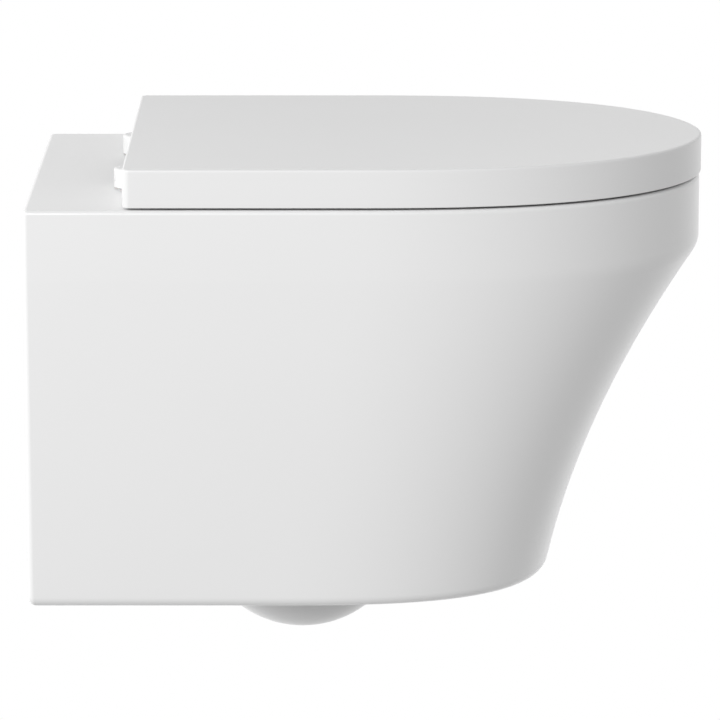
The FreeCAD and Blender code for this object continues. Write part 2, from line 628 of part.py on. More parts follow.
# --------------------------------------------------------------------------- hinges
def make_hinge_bolts():
    """What stays on the ceramic: gaskets, plug bolts, bushes, washers and wing nuts."""
    deck = "sizes.rim_height"
    y = "-sizes.hinge_place"
    bolt = "sizes.bolt_diameter / 2"
    loose = bolt + " + sizes.bolt_gap"
    under = "-sizes.deck_thickness"
    washer_low = under + " - sizes.hinge_washer_thickness"
    nut_low = washer_low + " - sizes.wing_nut_height"
    seat_on = "sizes.gasket_thickness"
    flange_top = seat_on + " + sizes.flange_thickness"

    def gasket(side, sign):
        rim = "sizes.hub_diameter / 2 - sizes.fit_gap"
        profile = ring_profile(bolt + " + sizes.fit_gap", rim, "0", seat_on)
        return turned_body(f"hinge_gasket_{side}", profile, f"{sign}sizes.hinge_spacing / 2", y, deck)

    def plug(side, sign):
        radius = "sizes.plug_diameter / 2"
        profile = [("0", "-sizes.bolt_reach"), (bolt, "-sizes.bolt_reach"), (bolt, seat_on),
                   ("sizes.plug_flange / 2", seat_on), ("sizes.plug_flange / 2", flange_top),
                   (radius, flange_top), (radius, "sizes.plug_top - sizes.pin_chamfer"),
                   (radius + " - sizes.pin_chamfer", "sizes.plug_top"), ("0", "sizes.plug_top")]
        return turned_body(f"hinge_bolt_{side}", profile, f"{sign}sizes.hinge_spacing / 2", y, deck)

    def bush(side, sign):
        profile = ring_profile(loose, "sizes.hinge_hole / 2 - sizes.fit_gap", under, "0")
        return turned_body(f"hinge_bush_{side}", profile, f"{sign}sizes.hinge_spacing / 2", y, deck)

    def washer(side, sign):
        profile = ring_profile(loose, "sizes.hinge_washer / 2", washer_low, under)
        return turned_body(f"hinge_washer_{side}", profile, f"{sign}sizes.hinge_spacing / 2", y, deck)

    def wing_nut(side, sign):
        x = f"{sign}sizes.hinge_spacing / 2"
        profile = [("0", nut_low), (bolt + " + sizes.core_low", nut_low),
                   (bolt + " + sizes.core_high", washer_low), ("0", washer_low)]
        core = turned_body(f"wing_core_{side}", profile, x, y, deck)
        wings = block(f"wings_{side}", "sizes.wing_span", "sizes.wing_thickness", "sizes.wing_height",
                      x + " - sizes.wing_span / 2", y + " - sizes.wing_thickness / 2", f"{deck} + {nut_low}")
        hole = rod(f"wing_bore_{side}", loose, f"sizes.wing_nut_height + {2 * SLACK}",
                   x, y, f"{deck} + {nut_low} - {SLACK}", "up")
        rounded = fillet(f"wing_round_{side}", wings, size("wing_round"), upright_to_y)
        return cut(f"hinge_wing_nut_{side}", fuse(f"wing_solid_{side}", [core, rounded]), [hole])

    pair("hinge_gaskets", gasket)
    pair("hinge_bolts", plug)
    pair("hinge_bushes", bush)
    pair("hinge_washers", washer)
    pair("hinge_wing_nuts", wing_nut)


def upright_to_y(line):
    """True for the short edges of a wing that run front to back."""
    box = line.BoundBox
    return box.YLength > 0.5 and box.XLength < 0.1 and box.ZLength < 0.1


def make_hub(side, sign):
    """The upright hub that pushes onto its plug and holds the hinge pin."""
    low = "sizes.gasket_thickness + sizes.fit_gap"
    flange_room = "sizes.gasket_thickness + sizes.flange_thickness + sizes.fit_gap"
    plug_room = "sizes.plug_top + sizes.fit_gap"
    radius = "sizes.hub_diameter / 2"
    profile = [("0", plug_room), ("sizes.plug_diameter / 2 + sizes.fit_gap / 2", plug_room),
               ("sizes.plug_diameter / 2 + sizes.fit_gap / 2", flange_room),
               ("sizes.plug_flange / 2 + sizes.fit_gap", flange_room),
               ("sizes.plug_flange / 2 + sizes.fit_gap", low), (radius, low),
               (radius, "sizes.hub_top - sizes.hub_chamfer"),
               (radius + " - sizes.hub_chamfer", "sizes.hub_top"), ("0", "sizes.hub_top")]
    x = f"{sign}sizes.hinge_spacing / 2"
    core = turned_body(f"hub_{side}", profile, x, "-sizes.hinge_place", "sizes.rim_height")
    bore = rod(f"hub_bore_{side}", "sizes.pin_diameter / 2 + sizes.running_gap",
               f"sizes.hub_diameter + {2 * SLACK}", f"{x} - sizes.hub_diameter / 2 - {SLACK}",
               "-sizes.hinge_place", "sizes.rim_height + sizes.hinge_lift", "x")
    return node(f"hinge_hub_{side}", cut(f"hub_bored_{side}", core, [bore]))


def ear_span():
    """Expressions for the faces of hub and ears, as distances from the middle."""
    inner_hub = "(sizes.hinge_spacing - sizes.hub_diameter) / 2"
    outer_hub = "(sizes.hinge_spacing + sizes.hub_diameter) / 2"
    return {"seat_low": f"({inner_hub} - sizes.side_gap - sizes.ear_width)",
            "lid_low": f"({outer_hub} + sizes.side_gap)",
            "lid_high": f"({outer_hub} + sizes.side_gap + sizes.ear_width)"}


def along_x(sign, low, length):
    """The lowest x of something that starts at a distance from the middle, on one side."""
    return f"-({low} + {length})" if sign else f"{low}"


def make_pin(side, sign):
    """The steel pin on the hinge axis, from the lid's ear through the hub into the damper."""
    span = ear_span()
    start = f"({span['seat_low']} - sizes.damper_socket)"
    length = f"({span['lid_high']} + sizes.side_gap - {start})"
    radius = "sizes.pin_diameter / 2"
    point = radius + " - sizes.pin_chamfer"
    profile = [("0", "0"), (point, "0"), (radius, "sizes.pin_chamfer"),
               (radius, f"{length} - sizes.pin_chamfer"), (point, length), ("0", length)]
    pin = turned_body(f"pin_{side}", profile, along_x(sign, start, length), "-sizes.hinge_place",
                      "sizes.rim_height + sizes.hinge_lift", "x")
    return node(f"hinge_pin_{side}", pin)


def make_damper(label, sign):
    """A soft-close damper: a barrel on the hinge axis with a socket for the pin."""
    start = f"({ear_span()['seat_low']} - sizes.fit_gap - sizes.damper_length)"
    x = f"-{start}" if sign else start
    flip = "-" if sign else ""
    radius = "sizes.damper_radius"
    bore = "sizes.pin_diameter / 2 + sizes.running_gap"
    floor = "sizes.damper_length - sizes.damper_socket - sizes.fit_gap"
    narrow = radius + " - sizes.damper_step"
    shoulder = "sizes.damper_length - sizes.damper_neck"
    marks = [("0", "0"), (narrow, "0"), (radius, "sizes.damper_step"), (radius, shoulder), (narrow, shoulder),
             (narrow, "sizes.damper_length"), (bore, "sizes.damper_length"), (bore, floor), ("0", floor)]
    profile = [(r, height if height == "0" else f"{flip}({height})") for r, height in marks]
    return node(label, turned_body(label + "_barrel", profile, x, "-sizes.hinge_place",
                                   "sizes.rim_height + sizes.hinge_lift", "x"))


# --------------------------------------------------------------------------- seat ring
def make_seat():
    """The seat ring with its two ears and the cradle of its damper."""
    half = size("pan_width") / 2 + size("lid_overhang") - size("lid_wall") - size("seat_gap")
    tip = size("pan_length") + size("lid_overhang") - size("lid_wall") - size("seat_gap")
    back = size("hinge_place") + size("seat_setback")
    low = size("rim_height") + size("seat_lift")
    high = low + size("seat_thickness")

    def outline(inset, z):
        """The seat ring's outside."""
        return d_outline(half - inset, back + inset, size("rim_straight"), tip - inset,
                         RIM_NOSE, size("seat_corner") - inset, z)

    under = round_steps(size("seat_under_round"))
    over = round_steps(size("seat_round"))
    rows = [(low - SLACK, under[0][1])] + [(low + rise, inset) for rise, inset in under]
    rows += [(high - drop, inset) for drop, inset in reversed(over)] + [(high + SLACK, over[0][1])]
    hole = loft("seat_hole", [
        bowl_section(f"seat_hole_{i}", size("rim_height") - z, size("seat_hole_width") / 2 + inset,
                     size("seat_hole_length") / 2 + inset, size("seat_hole_middle"))
        for i, (z, inset) in enumerate(rows)])
    slab = rounded_slab("seat_slab", outline, low, high, size("seat_under_round"), size("seat_round"))
    ring = cut("seat_ring_plain", slab, [hole])

    axis_y = "-sizes.hinge_place"
    axis_z = "sizes.rim_height + sizes.hinge_lift"
    ear = ear_span()["seat_low"]
    parts = [ring]
    bores = []
    arm = "sizes.seat_setback + sizes.seat_round"
    for side, sign in (("left", "-"), ("right", "")):
        x = along_x(sign, ear, "sizes.ear_width")
        parts.append(block(f"seat_arm_{side}", "sizes.ear_width", arm, "2 * sizes.seat_ear_radius", x,
                           f"{axis_y} - ({arm})", f"{axis_z} - sizes.seat_ear_radius"))
        parts.append(rod(f"seat_eye_{side}", "sizes.seat_ear_radius", "sizes.ear_width",
                         x, axis_y, axis_z, "x"))
        bores.append(rod(f"seat_bore_{side}", "sizes.pin_diameter / 2 + sizes.running_gap",
                         f"sizes.ear_width + {2 * SLACK}", f"{x} - {SLACK}", axis_y, axis_z, "x"))
    start = f"({ear} - sizes.fit_gap - sizes.damper_length + sizes.cradle_setback)"
    length = "(sizes.damper_length - 2 * sizes.cradle_setback)"
    x = along_x("-", start, length)
    parts.append(block("seat_cradle", length, arm, "sizes.cradle_height", x,
                       f"{axis_y} - ({arm})", f"{axis_z} - sizes.cradle_height / 2"))
    bores.append(rod("seat_cradle_bore", "sizes.damper_radius + sizes.damper_gap",
                     f"sizes.damper_length + {2 * SLACK}", f"{x} - sizes.cradle_setback - {SLACK}",
                     axis_y, axis_z, "x"))
    return node("seat_ring", cut("seat_ring_bored", fuse("seat_ring_solid", parts), bores))


# --------------------------------------------------------------------------- lid
def lid_outline(inset, back, corner, z):
    """The lid's outline, moved inwards by an inset."""
    half = size("pan_width") / 2 + size("lid_overhang") - inset
    tip = size("pan_length") + size("lid_overhang") - inset
    return d_outline(half, back, size("rim_straight"), tip, RIM_NOSE, corner, z)


def make_lid():
    """The wrap-over lid: top plate, wall all round, ears and the cradle of its damper."""
    back = size("hinge_place") - size("lid_overrun")
    low = size("rim_height") + size("lid_gap")
    high = size("rim_height") + size("lid_top")

    def outline(inset, z):
        """The lid's outside."""
        return lid_outline(inset, back + inset, size("lid_corner") - inset, z)

    slab = rounded_slab("lid_slab", outline, low, high, size("lid_under_round"), size("lid_round"))
    wall = size("lid_wall")
    room = loft("lid_room", [
        feature(f"lid_room_{i}", lid_outline(wall, back + wall, size("lid_corner"), z))
        for i, z in enumerate((low - SLACK, high - size("lid_plate")))])
    gate = block("lid_gate", "sizes.lid_back_opening", f"sizes.lid_wall + {2 * SLACK}",
                 f"sizes.lid_top - sizes.lid_gap - sizes.lid_plate + {SLACK}",
                 "-sizes.lid_back_opening / 2",
                 f"-sizes.hinge_place + sizes.lid_overrun - sizes.lid_wall - {SLACK}",
                 f"sizes.rim_height + sizes.lid_gap - {SLACK}")
    shell = cut("lid_shell", slab, [room, gate])

    axis_y = "-sizes.hinge_place"
    axis_z = "sizes.rim_height + sizes.hinge_lift"
    rise = "sizes.lid_top - sizes.lid_plate / 2 - sizes.hinge_lift"
    ear = ear_span()["lid_low"]
    parts = [shell]
    bores = []
    for side, sign in (("left", "-"), ("right", "")):
        x = along_x(sign, ear, "sizes.ear_width")
        parts.append(block(f"lid_arm_{side}", "sizes.ear_width",
                           "sizes.lid_overrun + sizes.ear_radius", rise, x,
                           f"{axis_y} - sizes.ear_radius", axis_z))
        parts.append(rod(f"lid_eye_{side}", "sizes.ear_radius", "sizes.ear_width", x, axis_y, axis_z, "x"))
        bores.append(rod(f"lid_bore_{side}", "sizes.pin_diameter / 2 + sizes.running_gap",
                         f"sizes.ear_width + {2 * SLACK}", f"{x} - {SLACK}", axis_y, axis_z, "x"))
    start = f"({ear_span()['seat_low']} - sizes.fit_gap - sizes.damper_length + sizes.cradle_setback)"
    length = "(sizes.damper_length - 2 * sizes.cradle_setback)"
    parts.append(block("lid_cradle", length, "sizes.lid_overrun + sizes.cradle_depth / 2",
                       f"{rise} - sizes.cradle_setback", start, f"{axis_y} - sizes.cradle_depth / 2",
                       f"{axis_z} + sizes.cradle_setback"))
    bores.append(rod("lid_cradle_bore", "sizes.damper_radius + sizes.damper_gap",
                     f"sizes.damper_length + {2 * SLACK}", f"{start} - sizes.cradle_setback - {SLACK}",
                     axis_y, axis_z, "x"))
    return node("lid", cut("lid_bored", fuse("lid_solid", parts), bores))


def make_buffers(label, radius, low, height, angles):
    """Rubber buffers over the middle of the rim, at angles from the front, on both sides."""
    discs = []
    for i, angle in enumerate(angles):
        across = math.sin(math.radians(angle)) / 4
        along = math.cos(math.radians(angle)) / 2
        x = f"{across} * (sizes.bowl_width + sizes.pan_width)"
        reach = (f"sizes.bowl_middle + {along} * "
                 "(sizes.bowl_length / 2 + sizes.pan_length - sizes.bowl_middle)")
        for side, sign in (("left", "-"), ("right", "")):
            discs.append(rod(f"{label}_{i}_{side}", radius, height, f"{sign}({x})", f"-({reach})", low, "up"))
    return gathered(label, discs)


# --------------------------------------------------------------------------- assembly
make_pan()
make_wall_fixings()
make_flush_deflector()
make_hinge_bolts()
for side_name, side_sign in (("left", "-"), ("right", "")):
    make_hub(side_name, side_sign)
    make_pin(side_name, side_sign)
make_seat()
make_buffers("seat_buffers", "sizes.seat_buffer", "sizes.rim_height + sizes.buffer_gap",
             "sizes.seat_lift - sizes.buffer_gap", (54, 126))
make_damper("seat_damper", "-")
make_lid()
make_buffers("lid_buffers", "sizes.lid_buffer",
             "sizes.rim_height + sizes.seat_lift + sizes.seat_thickness + sizes.buffer_gap",
             "sizes.lid_top - sizes.lid_plate - sizes.seat_lift - sizes.seat_thickness - sizes.buffer_gap",
             (47, 119))
make_damper("lid_damper", "")
doc.recompute()

for thing in doc.Objects:
    if "Invalid" in thing.State or "Error" in thing.State:
        raise RuntimeError(f"{thing.Name} could not be made: {thing.State}")
for thing in nodes:
    if thing.Shape.isNull() or not thing.Shape.isValid():
        raise RuntimeError(f"{thing.Label} has no valid shape")

os.makedirs("parts", exist_ok=True)
for thing in nodes:
    thing.Shape.exportStep(f"parts/{thing.Label}.step")
    print(f"{thing.Label}: {len(thing.Shape.Solids)} solid(s), {thing.Shape.Volume / 1000:.1f} cm3")
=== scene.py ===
"""Looks of a wall hung toilet, built round its packed construction model.

The frame: X runs across the pan, the wall is the plane Y = 0, the front points to -Y and +Z is up.
The origin lies on the wall, midway between the two wall studs. All lengths here are metres.
"""
import json
import logging
import math
from dataclasses import dataclass, field
from enum import Enum, IntEnum
from typing import Iterable, Optional, Sequence

import bmesh
import bpy
from mathutils import Matrix, Vector

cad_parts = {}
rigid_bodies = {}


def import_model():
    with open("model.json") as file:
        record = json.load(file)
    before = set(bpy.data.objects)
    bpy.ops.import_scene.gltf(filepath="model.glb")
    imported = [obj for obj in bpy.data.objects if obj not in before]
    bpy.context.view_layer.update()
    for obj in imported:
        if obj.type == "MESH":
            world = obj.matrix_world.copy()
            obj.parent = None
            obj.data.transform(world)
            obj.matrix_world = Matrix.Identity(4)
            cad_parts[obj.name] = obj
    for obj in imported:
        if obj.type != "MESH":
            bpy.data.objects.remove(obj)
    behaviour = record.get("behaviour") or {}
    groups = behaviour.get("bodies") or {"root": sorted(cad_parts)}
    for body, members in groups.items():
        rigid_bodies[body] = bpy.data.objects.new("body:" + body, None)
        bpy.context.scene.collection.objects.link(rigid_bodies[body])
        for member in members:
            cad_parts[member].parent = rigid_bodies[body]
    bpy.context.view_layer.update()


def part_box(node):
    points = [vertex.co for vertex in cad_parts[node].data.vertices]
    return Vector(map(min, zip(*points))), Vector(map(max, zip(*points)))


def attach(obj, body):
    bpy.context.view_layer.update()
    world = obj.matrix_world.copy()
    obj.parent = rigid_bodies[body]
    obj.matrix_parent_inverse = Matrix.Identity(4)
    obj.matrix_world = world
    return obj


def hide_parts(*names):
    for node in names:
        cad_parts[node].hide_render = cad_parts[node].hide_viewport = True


LOG = logging.getLogger("toilet")
SLACK = 0.002                       # how far a cutting solid runs past the face that it opens
MERGE = 1e-6                        # points nearer than this are one
ON_AXIS = 1e-7                      # a profile point with a smaller radius lies on the axis
FLUSH = 0.0002                      # how near a face's middle lies to the face that it is on
SMOOTH_ANGLE = math.radians(32)     # edges sharper than this keep a hard crease
SHORT_SIDE = 0.45                   # the most of a side that one rounded corner takes
WHITE = (1.0, 1.0, 1.0, 1.0)

Point = tuple[float, float]
Row = list[Vector]
Step = tuple["Cut", bpy.types.Object]


class Body(Enum):
    """The bodies that the pieces ride on."""

    FIXED = "pan_and_fixings"
    CARRIER = "hinge_carrier"
    SEAT = "seat"
    LID = "lid"


class Slot(Enum):
    """The material slots of the record."""

    GLAZE = "ceramic_glaze"
    SEAT = "seat_plastic"
    HUB = "hub_plastic"
    FIXING = "fixing_plastic"
    GUARD = "guard_plastic"
    DAMPER = "damper_plastic"
    RUBBER = "soft_rubber"
    STEEL = "fixing_steel"


class Axis(Enum):
    """Which way the height of a turned piece points."""

    UP = "up"
    FRONT = "front"
    ACROSS = "across"

    def matrix(self, place: Vector) -> Matrix:
        """The matrix that turns +Z to this axis and moves it to a place."""
        turns = {
            Axis.UP: Matrix.Identity(4),
            Axis.FRONT: Matrix.Rotation(math.pi / 2, 4, "X"),
            Axis.ACROSS: Matrix.Rotation(math.pi / 2, 4, "Y"),
        }
        return Matrix.Translation(place) @ turns[self]


class Cut(Enum):
    """What a second solid does to the first."""

    ADD = "UNION"
    TAKE = "DIFFERENCE"
    KEEP = "INTERSECT"


class Facets(IntEnum):
    """How many facets a round piece has."""

    TRAP = 96
    HUB = 80
    BODY = 64
    RING = 56
    SMALL = 48
    BORE = 40
    STRUT = 20
    HEXAGON = 6


def wire(tree: bpy.types.NodeTree, kind: str, inputs: Optional[dict] = None,
         **settings: object) -> bpy.types.Node:
    """A new node of a tree with its settings made and its inputs linked or set.

    Args:
        tree: the tree that it joins.
        kind: the node's type.
        inputs: what goes into each input, by name or number: an output socket or a value.
        settings: the node's own properties.

    Returns:
        The node.
    """
    made = tree.nodes.new(kind)
    for name, setting in settings.items():
        setattr(made, name, setting)
    for key, source in (inputs or {}).items():
        if isinstance(source, bpy.types.NodeSocket):
            tree.links.new(source, made.inputs[key])
        else:
            made.inputs[key].default_value = source
    return made


# --------------------------------------------------------------------------- finishes
@dataclass(frozen=True)
class Finish:
    """A procedural finish whose colour, gloss and relief vary gently over the piece.

    Args:
        name: the material's name.
        colour: linear base colour.
        roughness: middle roughness of the surface.
        coat: weight of the clear layer on top.
        metallic: 1 for bare metal.
        mottle: share by which the colour varies.
        mottle_size: size of a patch of that variation, in metres.
        relief: height of the fine relief, in metres.
        relief_size: size of its waves, in metres.
        stretch: scale of the relief along X, Y and Z, for brushed or drawn surfaces.
        subsurface: weight of the light that passes through thin walls.
    """

    name: str
    colour: tuple[float, float, float]
    roughness: float
    coat: float = 0.0
    metallic: float = 0.0
    mottle: float = 0.02
    mottle_size: float = 0.05
    relief: float = 0.00002
    relief_size: float = 0.004
    stretch: tuple[float, float, float] = (1.0, 1.0, 1.0)
    subsurface: float = 0.0

    COAT_ROUGHNESS = 0.12
    SUBSURFACE_DEPTH = 0.004
    GLOSS_SPREAD = 0.12         # share by which the roughness varies
    MOTTLE_DETAIL = 3.0
    RELIEF_DETAIL = 2.0

    def material(self) -> bpy.types.Material:
        """The Blender material of this finish, made once."""
        found = bpy.data.materials.get(self.name)
        if found:
            return found
        made = bpy.data.materials.new(self.name)
        made.use_nodes = True
        tree = made.node_tree
        place = wire(tree, "ShaderNodeTexCoord").outputs["Object"]
        patches = wire(tree, "ShaderNodeTexNoise", {
            "Vector": place, "Scale": 1 / self.mottle_size,
            "Detail": self.MOTTLE_DETAIL}).outputs["Fac"]
        darker = [c * (1 - self.mottle) for c in self.colour]
        lighter = [min(1.0, c * (1 + self.mottle)) for c in self.colour]
        tint = wire(tree, "ShaderNodeMix", {
            "Factor": patches, "A": (*darker, 1.0), "B": (*lighter, 1.0)}, data_type="RGBA")
        gloss = wire(tree, "ShaderNodeMapRange", {
            "Value": patches, "To Min": self.roughness * (1 - self.GLOSS_SPREAD),
            "To Max": self.roughness * (1 + self.GLOSS_SPREAD)})
        stretch = wire(tree, "ShaderNodeMapping", {"Vector": place, "Scale": self.stretch})
        waves = wire(tree, "ShaderNodeTexNoise", {
            "Vector": stretch.outputs["Vector"], "Scale": 1 / self.relief_size,
            "Detail": self.RELIEF_DETAIL})
        bump = wire(tree, "ShaderNodeBump",
                    {"Height": waves.outputs["Fac"], "Distance": self.relief})
        shader = tree.nodes["Principled BSDF"].inputs
        shader["Metallic"].default_value = self.metallic
        shader["Coat Weight"].default_value = self.coat
        shader["Coat Roughness"].default_value = self.COAT_ROUGHNESS
        shader["Subsurface Weight"].default_value = self.subsurface
        shader["Subsurface Scale"].default_value = self.SUBSURFACE_DEPTH
        tree.links.new(tint.outputs["Result"], shader["Base Color"])
        tree.links.new(gloss.outputs["Result"], shader["Roughness"])
        tree.links.new(bump.outputs["Normal"], shader["Normal"])
        return made


GLAZE = Finish("white_glaze", (0.86, 0.86, 0.86), 0.3, coat=0.25, mottle=0.006, mottle_size=0.12,
               relief=0.00003, relief_size=0.009)
BISCUIT = Finish("unglazed_biscuit", (0.80, 0.78, 0.74), 0.85, mottle=0.04, mottle_size=0.02,
                 relief=0.00012, relief_size=0.0012)
SEAT_WHITE = Finish("white_thermoset", (0.84, 0.84, 0.84), 0.34, coat=0.15, mottle=0.005,
                    mottle_size=0.1, relief=0.00001, relief_size=0.006)
HUB_WHITE = Finish("white_hub_cap", (0.86, 0.86, 0.86), 0.28, coat=0.2, mottle=0.006,
                   mottle_size=0.02, relief=0.000005, relief_size=0.002)
NYLON = Finish("natural_nylon", (0.76, 0.75, 0.70), 0.55, mottle=0.04, mottle_size=0.01,
               relief=0.00002, relief_size=0.0012, subsurface=0.15)
GUARD_WHITE = Finish("white_guard", (0.80, 0.80, 0.80), 0.5, mottle=0.015, mottle_size=0.02,
                     relief=0.00002, relief_size=0.0015)
DAMPER_GREY = Finish("grey_damper", (0.10, 0.10, 0.11), 0.5, mottle=0.08, mottle_size=0.008,
                     relief=0.00002, relief_size=0.001)
RUBBER = Finish("soft_buffer_rubber", (0.52, 0.52, 0.52), 0.7, mottle=0.05, mottle_size=0.006,
                relief=0.00003, relief_size=0.0008, subsurface=0.2)
STEEL = Finish("stainless_steel", (0.60, 0.60, 0.61), 0.3, metallic=1.0, mottle=0.05,
               mottle_size=0.006, relief=0.000008, relief_size=0.0006, stretch=(1.0, 8.0, 8.0))


# --------------------------------------------------------------------------- mesh making
def linked(name: str, data: bpy.types.ID) -> bpy.types.Object:
    """A new object of the scene that holds some data."""
    thing = bpy.data.objects.new(name, data)
    bpy.context.scene.collection.objects.link(thing)
    return thing


def from_work(name: str, work: bmesh.types.BMesh) -> bpy.types.Object:
    """A mesh object made of finished mesh work, which is used up."""
    mesh = bpy.data.meshes.new(name)
    work.to_mesh(mesh)
    work.free()
    return linked(name, mesh)


def mesh_object(name: str, points: Sequence[Vector],
                faces: Sequence[Sequence[int]]) -> bpy.types.Object:
    """A mesh object at the origin, its faces pointing outwards.

    Args:
        name: the object's name.
        points: the corners, in place.
        faces: the corners of each face.

    Returns:
        The new object, linked to the scene.
    """
    mesh = bpy.data.meshes.new(name)
    mesh.from_pydata([tuple(p) for p in points], [], [tuple(f) for f in faces])
    work = bmesh.new()
    work.from_mesh(mesh)
    bmesh.ops.recalc_face_normals(work, faces=work.faces)
    work.to_mesh(mesh)
    work.free()
    return linked(name, mesh)


def skin(name: str, rows: Sequence[Row]) -> bpy.types.Object:
    """A closed solid through rows of equally many points, with flat ends.

    Args:
        name: the object's name.
        rows: closed outlines, from one end to the other.

    Returns:
        The solid.
    """
    count = len(rows[0])
    points = [p for row in rows for p in row]
    faces = [list(range(count)), list(range((len(rows) - 1) * count, len(rows) * count))]
    for level in range(len(rows) - 1):
        low = level * count
        for i in range(count):
            j = (i + 1) % count
            faces.append([low + i, low + j, low + count + j, low + count + i])
    return mesh_object(name, points, faces)


def turned(name: str, profile: Sequence[Point], place: Vector, axis: Axis,
           segments: int = Facets.BODY) -> bpy.types.Object:
    """A turned solid from a half profile of (radius, height) points.

    Args:
        name: the object's name.
        profile: the profile; it is closed, or starts and ends on the axis.
        place: where height zero lies on the axis.
        axis: which way the height points.
        segments: facets round the axis.

    Returns:
        The solid.
    """
    points: list[Vector] = []
    rings: list[list[int]] = []
    for radius, height in profile:
        start = len(points)
        if radius < ON_AXIS:
            points.append(Vector((0, 0, height)))
            rings.append([start] * segments)
            continue
        for i in range(segments):
            angle = 2 * math.pi * i / segments
            points.append(Vector((radius * math.cos(angle), radius * math.sin(angle), height)))
        rings.append(list(range(start, start + segments)))
    pairs = list(zip(rings, rings[1:]))
    if profile[0][0] > ON_AXIS or profile[-1][0] > ON_AXIS:
        pairs.append((rings[-1], rings[0]))
    faces = []
    for first, second in pairs:
        for i in range(segments):
            j = (i + 1) % segments
            corners = list(dict.fromkeys([first[i], first[j], second[j], second[i]]))
            if len(corners) > 2:
                faces.append(corners)
    matrix = axis.matrix(place)
    return mesh_object(name, [matrix @ p for p in points], faces)


def oblong(inner: float, outer: float, low: float, high: float) -> list[Point]:
    """The half profile of a ring, or of a disc where the inner radius is nothing."""
    return [(inner, low), (outer, low), (outer, high), (inner, high)]


def rod(name: str, radius: float, low: float, high: float, place: Vector, axis: Axis,
        segments: int = Facets.BODY) -> bpy.types.Object:
    """A plain cylinder from one height to another along its axis."""
    return turned(name, oblong(0.0, radius, low, high), place, axis, segments)


def eased(profile: Sequence[Point], radius: float, steps: int = 4) -> list[Point]:
    """A closed profile with each of its corners rounded.

    Args:
        profile: the corners, as (radius, height).
        radius: the wanted rounding, made smaller where a side is short.
        steps: facets in each rounded corner.

    Returns:
        The rounded profile. Corners on the axis stay as they are.
    """
    rounded: list[Point] = []
    count = len(profile)
    for i, corner in enumerate(profile):
        if corner[0] < ON_AXIS:
            rounded.append(corner)
            continue
        here = Vector(corner)
        before = Vector(profile[i - 1]) - here
        after = Vector(profile[(i + 1) % count]) - here
        turn = before.angle(after)
        reach = min(radius / math.tan(turn / 2),
                    SHORT_SIDE * before.length, SHORT_SIDE * after.length)
        start = here + before.normalized() * reach
        end = here + after.normalized() * reach
        for step in range(steps + 1):
            share = step / steps
            spot = start * (1 - share) ** 2 + here * 2 * share * (1 - share) + end * share ** 2
            rounded.append((spot.x, spot.y))
    return rounded


def slab_block(name: str, low: Vector, high: Vector, rounding: float = 0.0) -> bpy.types.Object:
    """A block between two corners with rounded edges."""
    work = bmesh.new()
    bmesh.ops.create_cube(work, size=1.0)
    for corner in work.verts:
        corner.co = Vector(low[i] + (corner.co[i] + 0.5) * (high[i] - low[i]) for i in range(3))
    if rounding:
        bmesh.ops.bevel(work, geom=list(work.edges), offset=rounding, segments=3, affect="EDGES",
                        profile=0.5)
    return from_work(name, work)


def baked(thing: bpy.types.Object) -> bpy.types.Object:
    """The object with its modifiers worked into its mesh and removed."""
    graph = bpy.context.evaluated_depsgraph_get()
    mesh = bpy.data.meshes.new_from_object(thing.evaluated_get(graph))
    thing.modifiers.clear()
    thing.data = mesh
    return thing


def combined(base: bpy.types.Object, steps: Iterable[Step]) -> bpy.types.Object:
    """A solid after adding and taking away others, which are used up.

    Args:
        base: the first solid.
        steps: what to do with each further solid, in order.

    Returns:
        The base, with its new mesh.
    """
    used = []
    for cut, tool in steps:
        change = base.modifiers.new(tool.name, "BOOLEAN")
        change.operation = cut.value
        change.solver = "MANIFOLD"
        change.object = tool
        used.append(tool)
    baked(base)
    for tool in used:
        bpy.data.objects.remove(tool)
    return base


def joined(name: str, things: Sequence[bpy.types.Object]) -> bpy.types.Object:
    """Several loose solids as one object."""
    work = bmesh.new()
    for thing in things:
        work.from_mesh(thing.data)
    whole = from_work(name, work)
    for material in things[0].data.materials:
        whole.data.materials.append(material)
    for thing in things:
        bpy.data.objects.remove(thing)
    return whole


def smoothed(thing: bpy.types.Object) -> bpy.types.Object:
    """Smooth shading over gentle edges, with flat faces kept flat beside their rounded edges."""
    work = bmesh.new()
    work.from_mesh(thing.data)
    bmesh.ops.remove_doubles(work, verts=work.verts, dist=MERGE)
    for face in work.faces:
        face.smooth = True
    for edge in work.edges:
        edge.smooth = len(edge.link_faces) == 2 and edge.calc_face_angle(0.0) < SMOOTH_ANGLE
    work.to_mesh(thing.data)
    work.free()
    weights = thing.modifiers.new("weighted_normals", "WEIGHTED_NORMAL")
    weights.keep_sharp = True
    weights.weight = 100
    return baked(thing)


